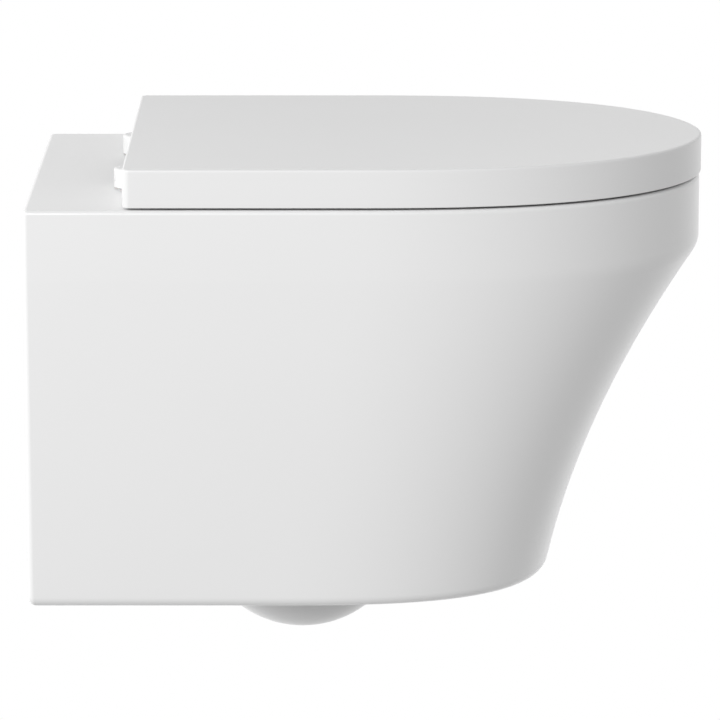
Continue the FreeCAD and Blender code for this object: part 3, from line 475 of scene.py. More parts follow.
@dataclass(frozen=True)
class Outline:
    """A D outline seen from above: straight back and sides, rounded back corners, curved nose.

    Args:
        half: half its width.
        back: wall to its back.
        start: wall to where the nose curve starts.
        tip: wall to its front.
        corner: radius of the back corners.
        along: exponent of the nose curve along its length.
        across: exponent of the nose curve across.
    """

    half: float
    back: float
    start: float
    tip: float
    corner: float
    along: float
    across: float

    CORNER_STEPS = 6
    SIDE_STEPS = 12
    NOSE_STEPS = 44
    FINE_STEPS = 240

    def inset(self, by: float) -> "Outline":
        """The same outline, moved inwards."""
        return Outline(self.half - by, self.back + by, self.start, self.tip - by,
                       max(self.corner - by, 0.0004), self.along, self.across)

    def nose(self) -> list[Point]:
        """The right half of the nose as evenly spaced (x, distance from the wall), side to tip."""
        fine = []
        for i in range(self.FINE_STEPS + 1):
            angle = math.pi / 2 * (i / self.FINE_STEPS) ** 1.5
            fine.append((self.half * max(math.cos(angle), 0.0) ** (2 / self.across),
                         self.start
                         + (self.tip - self.start) * math.sin(angle) ** (2 / self.along)))
        lengths = [0.0]
        for first, second in zip(fine, fine[1:]):
            lengths.append(lengths[-1] + math.dist(first, second))
        spaced = []
        place = 0
        for step in range(1, self.NOSE_STEPS + 1):
            goal = lengths[-1] * step / self.NOSE_STEPS
            while place < len(lengths) - 2 and lengths[place + 1] < goal:
                place += 1
            share = (goal - lengths[place]) / (lengths[place + 1] - lengths[place])
            spaced.append(tuple(a + (b - a) * share for a, b in zip(fine[place], fine[place + 1])))
        return spaced

    def row(self, z: float) -> Row:
        """The whole outline at a height, the same number of points for every outline."""
        right = []
        for i in range(self.CORNER_STEPS + 1):
            angle = math.pi / 2 * i / self.CORNER_STEPS
            right.append((self.half - self.corner * (1 - math.sin(angle)),
                          self.back + self.corner * (1 - math.cos(angle))))
        first = self.back + self.corner
        for i in range(1, self.SIDE_STEPS + 1):
            right.append((self.half, first + (self.start - first) * i / self.SIDE_STEPS))
        right += self.nose()
        left = [(-x, reach) for x, reach in reversed(right[:-1])]
        return [Vector((x, -reach, z)) for x, reach in right + left]


def edge_rows(radius: float, steps: int = 6) -> list[Point]:
    """A rounded edge as (distance from the face, inset) pairs, from the face to the side."""
    angles = [math.pi / 2 * (1 - i / steps) for i in range(steps + 1)]
    return [(radius * (1 - math.sin(a)), radius * (1 - math.cos(a))) for a in angles]


def rounded_slab(name: str, outline: Outline, low: float, high: float, under: float,
                 over: float) -> bpy.types.Object:
    """A slab over an outline whose lower and upper edges are rounded."""
    rows = [outline.inset(inset).row(low + rise) for rise, inset in edge_rows(under)]
    rows += [outline.inset(inset).row(high - drop) for drop, inset in reversed(edge_rows(over))]
    return skin(name, rows)


def oval(half_width: float, half_length: float, reach: float, z: float, count: int = 112) -> Row:
    """A level ellipse, its middle at a distance from the wall."""
    return [Vector((half_width * math.cos(2 * math.pi * i / count),
                    -reach + half_length * math.sin(2 * math.pi * i / count), z))
            for i in range(count)]


# --------------------------------------------------------------------------- geometry node recipes
class Recipe:
    """A Geometry Nodes tree with named inputs, run once on a piece and worked into its mesh."""

    def __init__(self, name: str) -> None:
        """An empty tree that takes a geometry in and gives one out."""
        self.tree = bpy.data.node_groups.new(name, "GeometryNodeTree")
        self.tree.interface.new_socket("Geometry", in_out="INPUT", socket_type="NodeSocketGeometry")
        self.tree.interface.new_socket("Geometry", in_out="OUTPUT",
                                       socket_type="NodeSocketGeometry")
        self.names: dict[str, str] = {}
        self.entry = self.tree.nodes.new("NodeGroupInput")

    def value(self, name: str, kind: str = "NodeSocketFloat") -> bpy.types.NodeSocket:
        """A new named input of the tree."""
        item = self.tree.interface.new_socket(name, in_out="INPUT", socket_type=kind)
        self.names[name] = item.identifier
        return self.entry.outputs[name]

    def node(self, kind: str, inputs: Optional[dict] = None, **settings: object) -> bpy.types.Node:
        """A new node of this tree."""
        return wire(self.tree, kind, inputs, **settings)

    def maths(self, operation: str, first: object, second: object = 0.0) -> bpy.types.NodeSocket:
        """The result of one sum on two numbers or sockets."""
        return self.node("ShaderNodeMath", {0: first, 1: second}, operation=operation).outputs[0]

    def close(self, geometry: bpy.types.NodeSocket) -> None:
        """End the tree: real meshes with a material on them."""
        material = self.value("Material", "NodeSocketMaterial")
        real = self.node("GeometryNodeRealizeInstances", {"Geometry": geometry})
        painted = self.node("GeometryNodeSetMaterial",
                            {"Geometry": real.outputs[0], "Material": material})
        self.node("NodeGroupOutput", {"Geometry": painted.outputs[0]})

    def run(self, thing: bpy.types.Object, finish: Finish, **values: float) -> bpy.types.Object:
        """Run the tree on a piece.

        Args:
            thing: the piece that the tree starts from.
            finish: the finish of what comes out.
            values: the tree's inputs, with underscores for spaces.

        Returns:
            The piece, its mesh the tree's result and no modifier left on it.
        """
        change = thing.modifiers.new(self.tree.name, "NODES")
        change.node_group = self.tree
        change[self.names["Material"]] = finish.material()
        for name, number in values.items():
            change[self.names[name.replace("_", " ")]] = number
        return baked(thing)


def even_pair() -> Recipe:
    """One piece made on the left and on the right of the middle."""
    recipe = Recipe("even_pair")
    spacing = recipe.value("Spacing")
    start = recipe.node("ShaderNodeCombineXYZ", {"X": recipe.maths("MULTIPLY", spacing, -0.5)})
    step = recipe.node("ShaderNodeCombineXYZ", {"X": spacing})
    line = recipe.node("GeometryNodeMeshLine", {"Count": 2, "Start Location": start.outputs[0],
                                                "Offset": step.outputs[0]}, mode="OFFSET")
    spread = recipe.node("GeometryNodeInstanceOnPoints", {
        "Points": line.outputs[0], "Instance": recipe.entry.outputs["Geometry"]})
    recipe.close(spread.outputs[0])
    return recipe


def rim_places() -> Recipe:
    """One piece at four places over the rim, at two angles from the front on both sides."""
    recipe = Recipe("rim_places")
    across = recipe.value("Across")
    along = recipe.value("Along")
    middle = recipe.value("Middle")
    front = recipe.value("Front Angle")
    rear = recipe.value("Rear Angle")
    index = recipe.node("GeometryNodeInputIndex").outputs[0]
    is_rear = recipe.maths("GREATER_THAN", index, 1.5)
    is_right = recipe.maths("MODULO", index, 2.0)
    side = recipe.maths("SUBTRACT", recipe.maths("MULTIPLY", is_right, 2.0), 1.0)
    spread = recipe.maths("SUBTRACT", rear, front)
    angle = recipe.maths("ADD", front, recipe.maths("MULTIPLY", is_rear, spread))
    x = recipe.maths("MULTIPLY",
                     recipe.maths("MULTIPLY", recipe.maths("SINE", angle), across), side)
    reach = recipe.maths("ADD", middle,
                         recipe.maths("MULTIPLY", recipe.maths("COSINE", angle), along))
    spot = recipe.node("ShaderNodeCombineXYZ", {"X": x, "Y": recipe.maths("MULTIPLY", reach, -1.0)})
    points = recipe.node("GeometryNodePoints", {"Count": 4, "Position": spot.outputs[0]})
    placed = recipe.node("GeometryNodeInstanceOnPoints", {
        "Points": points.outputs[0], "Instance": recipe.entry.outputs["Geometry"]})
    recipe.close(placed.outputs[0])
    return recipe


def bent_pipe() -> Recipe:
    """A round pipe along a line of straight runs, its corners bent to one radius."""
    recipe = Recipe("bent_pipe")
    radius = recipe.value("Radius")
    bend = recipe.value("Bend")
    line = recipe.node("GeometryNodeMeshToCurve", {0: recipe.entry.outputs["Geometry"]})
    curved = recipe.node("GeometryNodeFilletCurve", {"Curve": line.outputs[0], "Count": 24,
                                                     "Radius": bend}, mode="POLY")
    ring = recipe.node("GeometryNodeCurvePrimitiveCircle", {"Resolution": 64, "Radius": radius})
    pipe = recipe.node("GeometryNodeCurveToMesh", {
        "Curve": curved.outputs[0], "Profile Curve": ring.outputs[0], "Fill Caps": True})
    recipe.close(pipe.outputs[0])
    return recipe


def thread() -> Recipe:
    """A screw thread wound round a bolt that points along Z, kept together with the bolt."""
    recipe = Recipe("thread")
    radius = recipe.value("Radius")
    pitch = recipe.value("Pitch")
    length = recipe.value("Length")
    start = recipe.value("Start")
    turns = recipe.maths("DIVIDE", length, pitch)
    path = recipe.node("GeometryNodeCurveSpiral", {"Resolution": 20, "Rotations": turns,
                                                   "Start Radius": radius, "End Radius": radius,
                                                   "Height": length})
    ridge = recipe.node("GeometryNodeCurvePrimitiveCircle",
                        {"Resolution": 3, "Radius": recipe.maths("MULTIPLY", pitch, 0.42)})
    wound = recipe.node("GeometryNodeCurveToMesh", {
        "Curve": path.outputs[0], "Profile Curve": ridge.outputs[0], "Fill Caps": True})
    lift = recipe.node("ShaderNodeCombineXYZ", {"Z": start})
    moved = recipe.node("GeometryNodeTransform", {"Geometry": wound.outputs[0],
                                                  "Translation": lift.outputs[0]})
    both = recipe.node("GeometryNodeJoinGeometry", {0: moved.outputs[0]})
    recipe.tree.links.new(recipe.entry.outputs["Geometry"], both.inputs[0])
    recipe.close(both.outputs[0])
    return recipe


def ring_of() -> Recipe:
    """One piece repeated evenly round the Z axis."""
    recipe = Recipe("ring_of")
    count = recipe.value("Count", "NodeSocketInt")
    index = recipe.node("GeometryNodeInputIndex").outputs[0]
    share = recipe.maths("DIVIDE", index, count)
    angle = recipe.maths("MULTIPLY", share, 2 * math.pi)
    points = recipe.node("GeometryNodePoints", {"Count": count, "Position": (0.0, 0.0, 0.0)})
    turn = recipe.node("ShaderNodeCombineXYZ", {"Z": angle})
    spread = recipe.node("GeometryNodeInstanceOnPoints",
                         {"Points": points.outputs[0], "Instance": recipe.entry.outputs["Geometry"],
                          "Rotation": turn.outputs[0]})
    recipe.close(spread.outputs[0])
    return recipe


# --------------------------------------------------------------------------- sub-assemblies
@dataclass
class Workshop:
    """What every sub-assembly shares: the recipes and the list of pieces made so far."""

    pair: Recipe = field(default_factory=even_pair)
    places: Recipe = field(default_factory=rim_places)
    pipe: Recipe = field(default_factory=bent_pipe)
    thread: Recipe = field(default_factory=thread)
    ring: Recipe = field(default_factory=ring_of)
    made: list[str] = field(default_factory=list)

    def deliver(self, thing: bpy.types.Object, name: str, finish: Finish, body: Body, slot: Slot,
                *nodes: str) -> bpy.types.Object:
        """Dress a finished piece and hang it on its body.

        Args:
            thing: the piece, in place.
            name: its name.
            finish: its finish, used unless it already has one.
            body: the body that it rides on.
            slot: its material slot in the record; not used.
            nodes: the construction nodes that it stands for.

        Returns:
            The piece.
        """
        thing.name = name
        thing.data.name = name
        if not any(thing.data.materials):
            thing.data.materials.clear()
            thing.data.materials.append(finish.material())
        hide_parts(*nodes)
        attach(thing, body.value)
        self.made.append(name)
        LOG.info("%s: %d faces, stands for %s", name, len(thing.data.polygons), ", ".join(nodes))
        return thing


@dataclass
class Pan:
    """The ceramic body. Width, length and rim height come from the frame."""

    width: float
    length: float
    rim: float
    height: float = 0.309
    band: float = 0.054
    band_ease: float = 0.006
    foot_width: float = 0.3405
    foot_length: float = 0.4005
    rim_straight: float = 0.250
    foot_straight: float = 0.186
    rim_nose: Point = (2.6, 1.89)
    foot_nose: Point = (2.92, 2.70)
    front_hollow: float = 0.54
    rim_corner: float = 0.004
    foot_corner: float = 0.005
    rim_round: float = 0.0035
    foot_round: float = 0.008
    wall: float = 0.011
    rear_wall: float = 0.014
    deck: float = 0.013
    bowl_width: float = 0.240
    bowl_length: float = 0.314
    bowl_middle: float = 0.318
    bowl_wall: float = 0.010
    lip: float = 0.007
    trap_place: float = 0.208
    trap_drop: float = 0.2825
    trap_radius: float = 0.083
    trap_pipe: float = 0.047
    trap_wall: float = 0.011
    trap_flat: float = 0.005
    trap_bend: float = 0.082
    outlet_drop: float = 0.180
    spigot_radius: float = 0.051
    spigot_length: float = 0.055
    spigot_setback: float = 0.003
    spigot_room: float = 0.011
    inlet_drop: float = 0.045
    inlet_pipe: float = 0.034
    inlet_radius: float = 0.0275
    inlet_depth: float = 0.030
    flush_bore: float = 0.020
    stud_spacing: float = 0.180
    stud_hole: float = 0.013
    boss_radius: float = 0.028
    boss_depth: float = 0.022
    hinge_spacing: float = 0.155
    hinge_place: float = 0.078
    hinge_hole: float = 0.0075
    spigot_ease: float = 0.002
    boss_ease: float = 0.003
    hole_flare: float = 0.0012

    CREASE_ROWS = 12
    SKIRT_ROWS = 30
    HOLLOW_ROWS = 12
    BOWL_ROWS = 28
    DRUM_STEPS = 12
    LIP_STEPS = 8
    WALLWARD = 0.99             # share of the normal of a face that points to the wall

    BOWL = ((0.0, 1.0, 1.0, 0.0), (0.050, 0.965, 0.968, 0.0), (0.120, 0.815, 0.815, -0.012),
            (0.185, 0.55, 0.535, -0.038), (0.235, 0.375, 0.306, -0.064))

    @classmethod
    def from_frame(cls) -> "Pan":
        """A pan as wide, long and high as the frame's."""
        low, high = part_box("pan")
        return cls(width=high.x - low.x, length=-low.y, rim=high.z)

    def setback(self, depth: float) -> float:
        """How far the front lies behind the rim at a depth, as a share of the whole setback."""
        slope = 1 + self.front_hollow
        reach = self.height - self.band
        share = (depth - self.band) / reach
        ease = self.band_ease / reach
        if abs(share) < ease:
            return slope * (share + ease) ** 2 / (4 * ease)
        return slope * share - self.front_hollow * share ** 2 if share > 0 else 0.0

    def outline(self, depth: float) -> Outline:
        """The outside of the ceramic at a depth under the rim."""
        back_share = self.setback(depth)
        side_share = max(0.0, (depth - self.band) / (self.height - self.band))
        noses = [rim + (foot - rim) * back_share
                 for rim, foot in zip(self.rim_nose, self.foot_nose)]
        return Outline(
            half=(self.width + (self.foot_width - self.width) * side_share) / 2,
            back=0.0,
            start=self.rim_straight + (self.foot_straight - self.rim_straight) * back_share,
            tip=self.length + (self.foot_length - self.length) * back_share,
            corner=self.rim_corner + (self.foot_corner - self.rim_corner) * side_share,
            along=noses[0], across=noses[1])

    def shell(self) -> bpy.types.Object:
        """The outer form as one smooth solid."""
        last = self.height - self.foot_round
        depths = [(drop, inset) for drop, inset in edge_rows(self.rim_round)]
        crease = self.band - self.band_ease
        first = self.band + self.band_ease
        depths += [(crease + 2 * self.band_ease * i / self.CREASE_ROWS, 0.0)
                   for i in range(self.CREASE_ROWS + 1)]
        depths += [(first + (last - first) * i / self.SKIRT_ROWS, 0.0)
                   for i in range(1, self.SKIRT_ROWS + 1)]
        depths += [(self.height - rise, inset)
                   for rise, inset in reversed(edge_rows(self.foot_round)[:-1])]
        return skin("shell", [self.outline(d).inset(inset).row(self.rim - d)
                              for d, inset in depths])

    def hollow(self) -> bpy.types.Object:
        """The space inside the shell, open underneath."""
        rows = []
        for i in range(self.HOLLOW_ROWS + 1):
            depth = self.deck + (self.height + SLACK - self.deck) * i / self.HOLLOW_ROWS
            outside = self.outline(depth)
            inside = Outline(outside.half - self.wall, self.rear_wall, outside.start,
                             outside.tip - self.wall, self.rim_corner, outside.along,
                             outside.across)
            rows.append(inside.row(self.rim - depth))
        return skin("hollow", rows)

    def bowl_wall_at(self, depth: float) -> tuple[float, float, float]:
        """The bowl's (half width, half length, wall distance), eased through its sections."""
        sections = self.BOWL
        place = next((i for i in range(len(sections) - 1) if depth <= sections[i + 1][0]),
                     len(sections) - 2)
        upper, lower = sections[place], sections[place + 1]
        before = sections[max(place - 1, 0)]
        after = sections[min(place + 2, len(sections) - 1)]
        span = lower[0] - upper[0]
        share = (depth - upper[0]) / span
        found = []
        for i in (1, 2, 3):
            into = (lower[i] - before[i]) / (lower[0] - before[0]) * span
            out = (after[i] - upper[i]) / (after[0] - upper[0]) * span
            found.append(upper[i] * (1 + 2 * share) * (1 - share) ** 2
                         + into * share * (1 - share) ** 2
                         + lower[i] * (3 - 2 * share) * share ** 2 - out * (1 - share) * share ** 2)
        return (found[0] * self.bowl_width / 2, found[1] * self.bowl_length / 2,
                self.bowl_middle + found[2])

    def bowl(self, name: str, grown: float, top: Sequence[Point]) -> bpy.types.Object:
        """The bowl as a solid down into the trap.

        Args:
            name: the solid's name.
            grown: how much it is grown by a wall.
            top: (depth, further growth) pairs at its upper end.

        Returns:
            The solid.
        """
        last = self.BOWL[-1][0]
        first = max(top[-1][0], 0.0)
        levels = list(top) + [(first + (last - first) * i / self.BOWL_ROWS, 0.0)
                              for i in range(1, self.BOWL_ROWS + 1)]
        rows = []
        for depth, more in levels:
            half_width, half_length, reach = self.bowl_wall_at(max(depth, 0.0))
            extra = grown + more
            rows.append(oval(half_width + extra, half_length + extra, reach, self.rim - depth))
        back = self.trap_place + self.trap_wall
        front = self.trap_place + self.trap_radius - self.trap_wall - 0.0015
        rows.append(oval(self.trap_pipe - self.trap_wall + grown, (front - back) / 2 + grown,
                         (front + back) / 2, self.rim - self.trap_drop - 0.008))
        return skin(name, rows)

    def drum(self, name: str, inset: float) -> bpy.types.Object:
        """The trap's round lower part: a wide disc on a cross axis with well rounded rims."""
        radius = self.trap_radius - inset
        half = self.trap_pipe - inset
        round_off = half - self.trap_flat
        profile = [(0.0, -half)]
        for sign in (-1, 1):
            corner = []
            for i in range(self.DRUM_STEPS + 1):
                angle = math.pi / 2 * i / self.DRUM_STEPS
                corner.append((radius - round_off * (1 - math.sin(angle)),
                               sign * (half - round_off * (1 - math.cos(angle)))))
            profile += corner if sign < 0 else corner[::-1]
        profile.append((0.0, half))
        place = Vector((0, -self.trap_place, self.rim - self.trap_drop))
        return turned(name, profile, place, Axis.ACROSS, Facets.TRAP)

    def trap_run(self, workshop: Workshop, name: str, radius: float,
                 back: float) -> bpy.types.Object:
        """The pipe from the trap up over the weir and back to the wall."""
        leg = self.trap_place - (self.trap_radius - self.trap_pipe)
        high = self.rim - self.outlet_drop
        low = self.rim - self.trap_drop
        mesh = bpy.data.meshes.new(name)
        mesh.from_pydata([(0, -back, high), (0, -leg, high), (0, -leg, low)], [(0, 1), (1, 2)], [])
        pipe = workshop.pipe.run(linked(name, mesh), GLAZE, Radius=radius, Bend=self.trap_bend)
        pipe.data.materials.clear()
        work = bmesh.new()
        work.from_mesh(pipe.data)
        bmesh.ops.remove_doubles(work, verts=work.verts, dist=MERGE)
        bmesh.ops.recalc_face_normals(work, faces=work.faces)
        work.to_mesh(pipe.data)
        work.free()
        return pipe

    def hinge_opening(self, sign: int) -> bpy.types.Object:
        """A hinge bolt's hole in the deck, whose mouth opens with a small rounding."""
        low = -self.deck - SLACK
        profile = [(0.0, low), (self.hinge_hole, low)]
        profile += [(self.hinge_hole + inset, -drop)
                    for drop, inset in reversed(edge_rows(self.hole_flare, 4))]
        profile += [(self.hinge_hole + self.hole_flare, SLACK), (0.0, SLACK)]
        place = Vector((sign * self.hinge_spacing / 2, -self.hinge_place, self.rim))
        return turned(f"hinge_hole_{sign}", profile, place, Axis.UP, Facets.SMALL)

    def build(self, workshop: Workshop) -> None:
        """Make the whole ceramic, glaze it and leave its back to the wall unglazed."""
        waste = Vector((0, 0, self.rim - self.outlet_drop))
        inlet = Vector((0, 0, self.rim - self.inlet_drop))
        bowl_back = self.bowl_middle - self.bowl_length / 2 + self.bowl_wall
        inner = self.trap_pipe - self.trap_wall
        spigot_end = self.spigot_setback + self.spigot_length
        steps: list[Step] = [
            (Cut.TAKE, self.hollow()),
            (Cut.TAKE, rod("clearing", self.spigot_radius + self.spigot_room, -SLACK,
                           self.rear_wall + SLACK, waste, Axis.FRONT, Facets.TRAP)),
            (Cut.ADD, self.bowl("bowl_out", self.bowl_wall, [(self.deck / 2, 0.0)])),
            (Cut.ADD, self.drum("drum_out", 0.0)),
            (Cut.ADD, self.trap_run(workshop, "run_out", self.trap_pipe, self.spigot_setback)),
            (Cut.ADD, turned("spigot", eased(
                oblong(0.0, self.spigot_radius, self.spigot_setback, spigot_end), self.spigot_ease),
                waste, Axis.FRONT, Facets.TRAP)),
            (Cut.ADD, rod("flush_pipe", self.inlet_pipe, 0.0, bowl_back, inlet, Axis.FRONT)),
        ]
        for sign in (-1, 1):
            stud = Vector((sign * self.stud_spacing / 2, 0, 0))
            steps.append((Cut.ADD, turned(f"boss_{sign}", eased(
                oblong(0.0, self.boss_radius, 0.0, self.boss_depth), self.boss_ease),
                stud, Axis.FRONT)))
        lip = [(-SLACK, self.lip)] + edge_rows(self.lip, self.LIP_STEPS)
        half_drum = self.drum("drum_in", self.trap_wall)
        reach = 2 * self.trap_radius
        floor = self.rim - self.trap_drop
        below = slab_block("below", Vector((-reach, -self.trap_place - reach, floor - reach)),
                           Vector((reach, -self.trap_place + reach, floor)))
        steps += [
            (Cut.TAKE, self.bowl("bowl_in", 0.0, lip)),
            (Cut.TAKE, combined(half_drum, [(Cut.KEEP, below)])),
            (Cut.TAKE, self.trap_run(workshop, "run_in", inner, -SLACK)),
            (Cut.TAKE, rod("flush_way", self.flush_bore, -SLACK, bowl_back, inlet, Axis.FRONT)),
            (Cut.TAKE, rod("socket", self.inlet_radius, -SLACK, self.inlet_depth, inlet,
                           Axis.FRONT)),
        ]
        for sign in (-1, 1):
            stud = Vector((sign * self.stud_spacing / 2, 0, 0))
            steps.append((Cut.TAKE, rod(f"stud_hole_{sign}", self.stud_hole, -SLACK,
                                        self.boss_depth + SLACK, stud, Axis.FRONT)))
            steps.append((Cut.TAKE, self.hinge_opening(sign)))
        pan = smoothed(combined(self.shell(), steps))
        pan.data.materials.clear()
        for finish in (GLAZE, BISCUIT):
            pan.data.materials.append(finish.material())
        for face in pan.data.polygons:
            near_wall = face.center.y > -self.spigot_setback - FLUSH
            face.material_index = int(near_wall and face.normal.y > self.WALLWARD)
        workshop.deliver(pan, "pan_ceramic", GLAZE, Body.FIXED, Slot.GLAZE, "pan")


@dataclass
class WallFixings:
    """Sleeves, washers and nuts for the two wall studs, and the guard in the flush pipe."""

    pan: Pan
    gap: float = 0.0003
    bore: float = 0.0065
    washer: float = 0.018
    plate: float = 0.003
    nut_flats: float = 0.019
    nut_bore: float = 0.0061
    nut_height: float = 0.010
    guard_wall: float = 0.003
    guard_reach: float = 0.022
    guard_lip: float = 0.004
    guard_gap: float = 0.008
    guard_cap: float = 0.028
    guard_plate: float = 0.004
    strut: float = 0.0014
    struts: int = 3
    chamfer: float = 0.0016
    sleeve_ease: float = 0.0006
    washer_ease: float = 0.0005
    collar_ease: float = 0.0008
    cap_ease: float = 0.0018

    def build(self, workshop: Workshop) -> None:
        """Make every piece of the wall fixings and the guard."""
        self.sleeves(workshop)
        self.washers(workshop)
        self.nuts(workshop)
        self.guard(workshop)

    def deliver_pair(self, workshop: Workshop, thing: bpy.types.Object, name: str, finish: Finish,
                     slot: Slot, node: str) -> None:
        """Put a piece made in the middle on both studs and deliver the pair."""
        pair = workshop.pair.run(thing, finish, Spacing=self.pan.stud_spacing)
        workshop.deliver(pair, name, finish, Body.FIXED, slot, node)

    def sleeves(self, workshop: Workshop) -> None:
        """Flanged plastic sleeves in the ceramic."""
        tube = self.pan.stud_hole - self.gap
        boss = self.pan.boss_depth
        top = boss + self.plate
        flange = self.washer - self.gap
        profile = eased([(self.bore, 0.0), (tube, 0.0), (tube, boss), (flange, boss), (flange, top),
                         (self.bore, top)], self.sleeve_ease)
        sleeve = smoothed(turned("sleeve", profile, Vector(), Axis.FRONT))
        self.deliver_pair(workshop, sleeve, "wall_sleeves", NYLON, Slot.FIXING, "fixing_sleeves")

    def washers(self, workshop: Workshop) -> None:
        """Round steel washers on the sleeves."""
        low = self.pan.boss_depth + self.plate
        profile = eased(oblong(self.bore, self.washer, low, low + self.plate), self.washer_ease)
        washer = smoothed(turned("washer", profile, Vector(), Axis.FRONT))
        self.deliver_pair(workshop, washer, "wall_washers", STEEL, Slot.STEEL, "fixing_washers")

    def nuts(self, workshop: Workshop) -> None:
        """Hexagon nuts with chamfered corners."""
        low = self.pan.boss_depth + 2 * self.plate
        high = low + self.nut_height
        corner = self.nut_flats / 2 / math.cos(math.pi / Facets.HEXAGON)
        face = self.nut_flats / 2 - 0.0003
        girth = corner + 0.0005
        nut = rod("nut", corner, low, high, Vector(), Axis.FRONT, Facets.HEXAGON)
        blank = turned("nut_blank", [
            (0.0, low), (face, low), (girth, low + self.chamfer), (girth, high - self.chamfer),
            (face, high), (0.0, high)], Vector(), Axis.FRONT)
        bore = rod("nut_bore", self.nut_bore, low - SLACK, high + SLACK, Vector(), Axis.FRONT,
                   Facets.SMALL)
        smoothed(combined(nut, [(Cut.KEEP, blank), (Cut.TAKE, bore)]))
        self.deliver_pair(workshop, nut, "wall_nuts", STEEL, Slot.STEEL, "fixing_nuts")

    def guard(self, workshop: Workshop) -> None:
        """The plastic guard that spreads the flush water, its cap on three struts."""
        tube = self.pan.flush_bore - self.gap
        half_length = self.pan.bowl_length / 2 * self.pan.BOWL[1][2]
        mouth = Vector((0, half_length - self.pan.bowl_middle, self.pan.rim - self.pan.inlet_drop))
        cap_low = self.guard_lip + self.guard_gap
        cap_high = cap_low + self.guard_plate
        strut = rod("strut", self.strut, self.guard_lip / 2, cap_low + self.guard_plate / 2,
                    Vector((0, tube - self.guard_wall / 2, 0)), Axis.UP, Facets.STRUT)
        struts = workshop.ring.run(smoothed(strut), GUARD_WHITE, Count=self.struts)
        struts.data.transform(Axis.FRONT.matrix(mouth))
        collar = turned("collar", eased(
            oblong(tube - self.guard_wall, tube, -self.guard_reach, self.guard_lip),
            self.collar_ease), mouth, Axis.FRONT)
        cap = turned("cap", eased(oblong(0.0, self.guard_cap, cap_low, cap_high), self.cap_ease, 6),
                     mouth, Axis.FRONT)
        whole = joined("guard", [smoothed(collar), smoothed(cap), struts])
        workshop.deliver(whole, "flush_guard", GUARD_WHITE, Body.FIXED, Slot.GUARD,
                         "flush_deflector")


@dataclass
class HingeBolts:
    """What stays on the ceramic: gaskets, plug bolts, bushes, washers and wing nuts."""

    pan: Pan
    hub_radius: float = 0.0135
    gap: float = 0.0003
    loose: float = 0.0001
    bolt: float = 0.004
    reach: float = 0.045
    gasket: float = 0.001
    plug: float = 0.0055
    plug_top: float = 0.0062
    flange: float = 0.012
    flange_plate: float = 0.0014
    washer: float = 0.013
    washer_plate: float = 0.002
    nut_height: float = 0.014
    wing_span: float = 0.040
    wing_plate: float = 0.0025
    wing_height: float = 0.012
    core_low: float = 0.003
    core_high: float = 0.005
    pitch: float = 0.00125
    thread_depth: float = 0.0005
    run_out: float = 0.001
    ease: float = 0.0004
    core_ease: float = 0.0008
    wing_ease: float = 0.0011

    def build(self, workshop: Workshop) -> None:
        """Make the five kinds of piece, each one a left and right pair."""
        under = -self.pan.deck
        washer_low = under - self.washer_plate
        nut_low = washer_low - self.nut_height
        seat_on = self.gasket
        top = seat_on + self.flange_plate
        self.rings(workshop, "hinge_seals", RUBBER, Slot.RUBBER, "hinge_gaskets",
                   self.bolt + self.gap, self.hub_radius - self.gap, 0.0, seat_on)
        self.rings(workshop, "deck_bushes", NYLON, Slot.FIXING, "hinge_bushes",
                   self.bolt + self.loose, self.pan.hinge_hole - self.gap, under, 0.0)
        self.rings(workshop, "deck_washers", NYLON, Slot.FIXING, "hinge_washers",
                   self.bolt + self.loose, self.washer, washer_low, under)
        core = self.bolt - self.thread_depth
        profile = eased([(0.0, -self.reach), (core, -self.reach), (core, nut_low - self.run_out),
                         (self.bolt, nut_low), (self.bolt, seat_on), (self.flange, seat_on),
                         (self.flange, top), (self.plug, top), (self.plug, self.plug_top),
                         (0.0, self.plug_top)], self.ease)
        bolt = smoothed(turned("bolt", profile, Vector(), Axis.UP, Facets.SMALL))
        threaded = workshop.thread.run(bolt, STEEL, Radius=core, Pitch=self.pitch,
                                       Length=self.reach + nut_low - 2 * self.run_out,
                                       Start=self.run_out - self.reach)
        self.place(workshop, threaded, "plug_bolts", STEEL, Slot.STEEL, "hinge_bolts")
        self.wing_nuts(workshop, nut_low, washer_low)

    def rings(self, workshop: Workshop, name: str, finish: Finish, slot: Slot, node: str,
              inner: float, outer: float, low: float, high: float) -> None:
        """A pair of plain rings with eased edges."""
        profile = eased(oblong(inner, outer, low, high), self.ease)
        ring = smoothed(turned(name, profile, Vector(), Axis.UP, Facets.RING))
        self.place(workshop, ring, name, finish, slot, node)

    def place(self, workshop: Workshop, thing: bpy.types.Object, name: str, finish: Finish,
              slot: Slot, node: str) -> None:
        """Move a piece made on the axis to both hinge holes and deliver the pair."""
        thing.data.transform(Matrix.Translation((0, -self.pan.hinge_place, self.pan.rim)))
        pair = workshop.pair.run(thing, finish, Spacing=self.pan.hinge_spacing)
        workshop.deliver(pair, name, finish, Body.FIXED, slot, node)

    def wing_nuts(self, workshop: Workshop, low: float, high: float) -> None:
        """Wing nuts with a conical core and two rounded wings."""
        core = turned("core", eased([(0.0, low), (self.bolt + self.core_low, low),
                                     (self.bolt + self.core_high, high), (0.0, high)],
                                    self.core_ease), Vector(), Axis.UP, Facets.SMALL)
        half = self.wing_span / 2
        wings = slab_block("wings", Vector((-half, -self.wing_plate / 2, low)),
                           Vector((half, self.wing_plate / 2, low + self.wing_height)),
                           self.wing_ease)
        bore = rod("bore", self.bolt + self.loose, low - SLACK, high + SLACK, Vector(), Axis.UP,
                   Facets.SMALL)
        nut = smoothed(combined(core, [(Cut.ADD, wings), (Cut.TAKE, bore)]))
        self.place(workshop, nut, "wing_nuts", NYLON, Slot.FIXING, "hinge_wing_nuts")


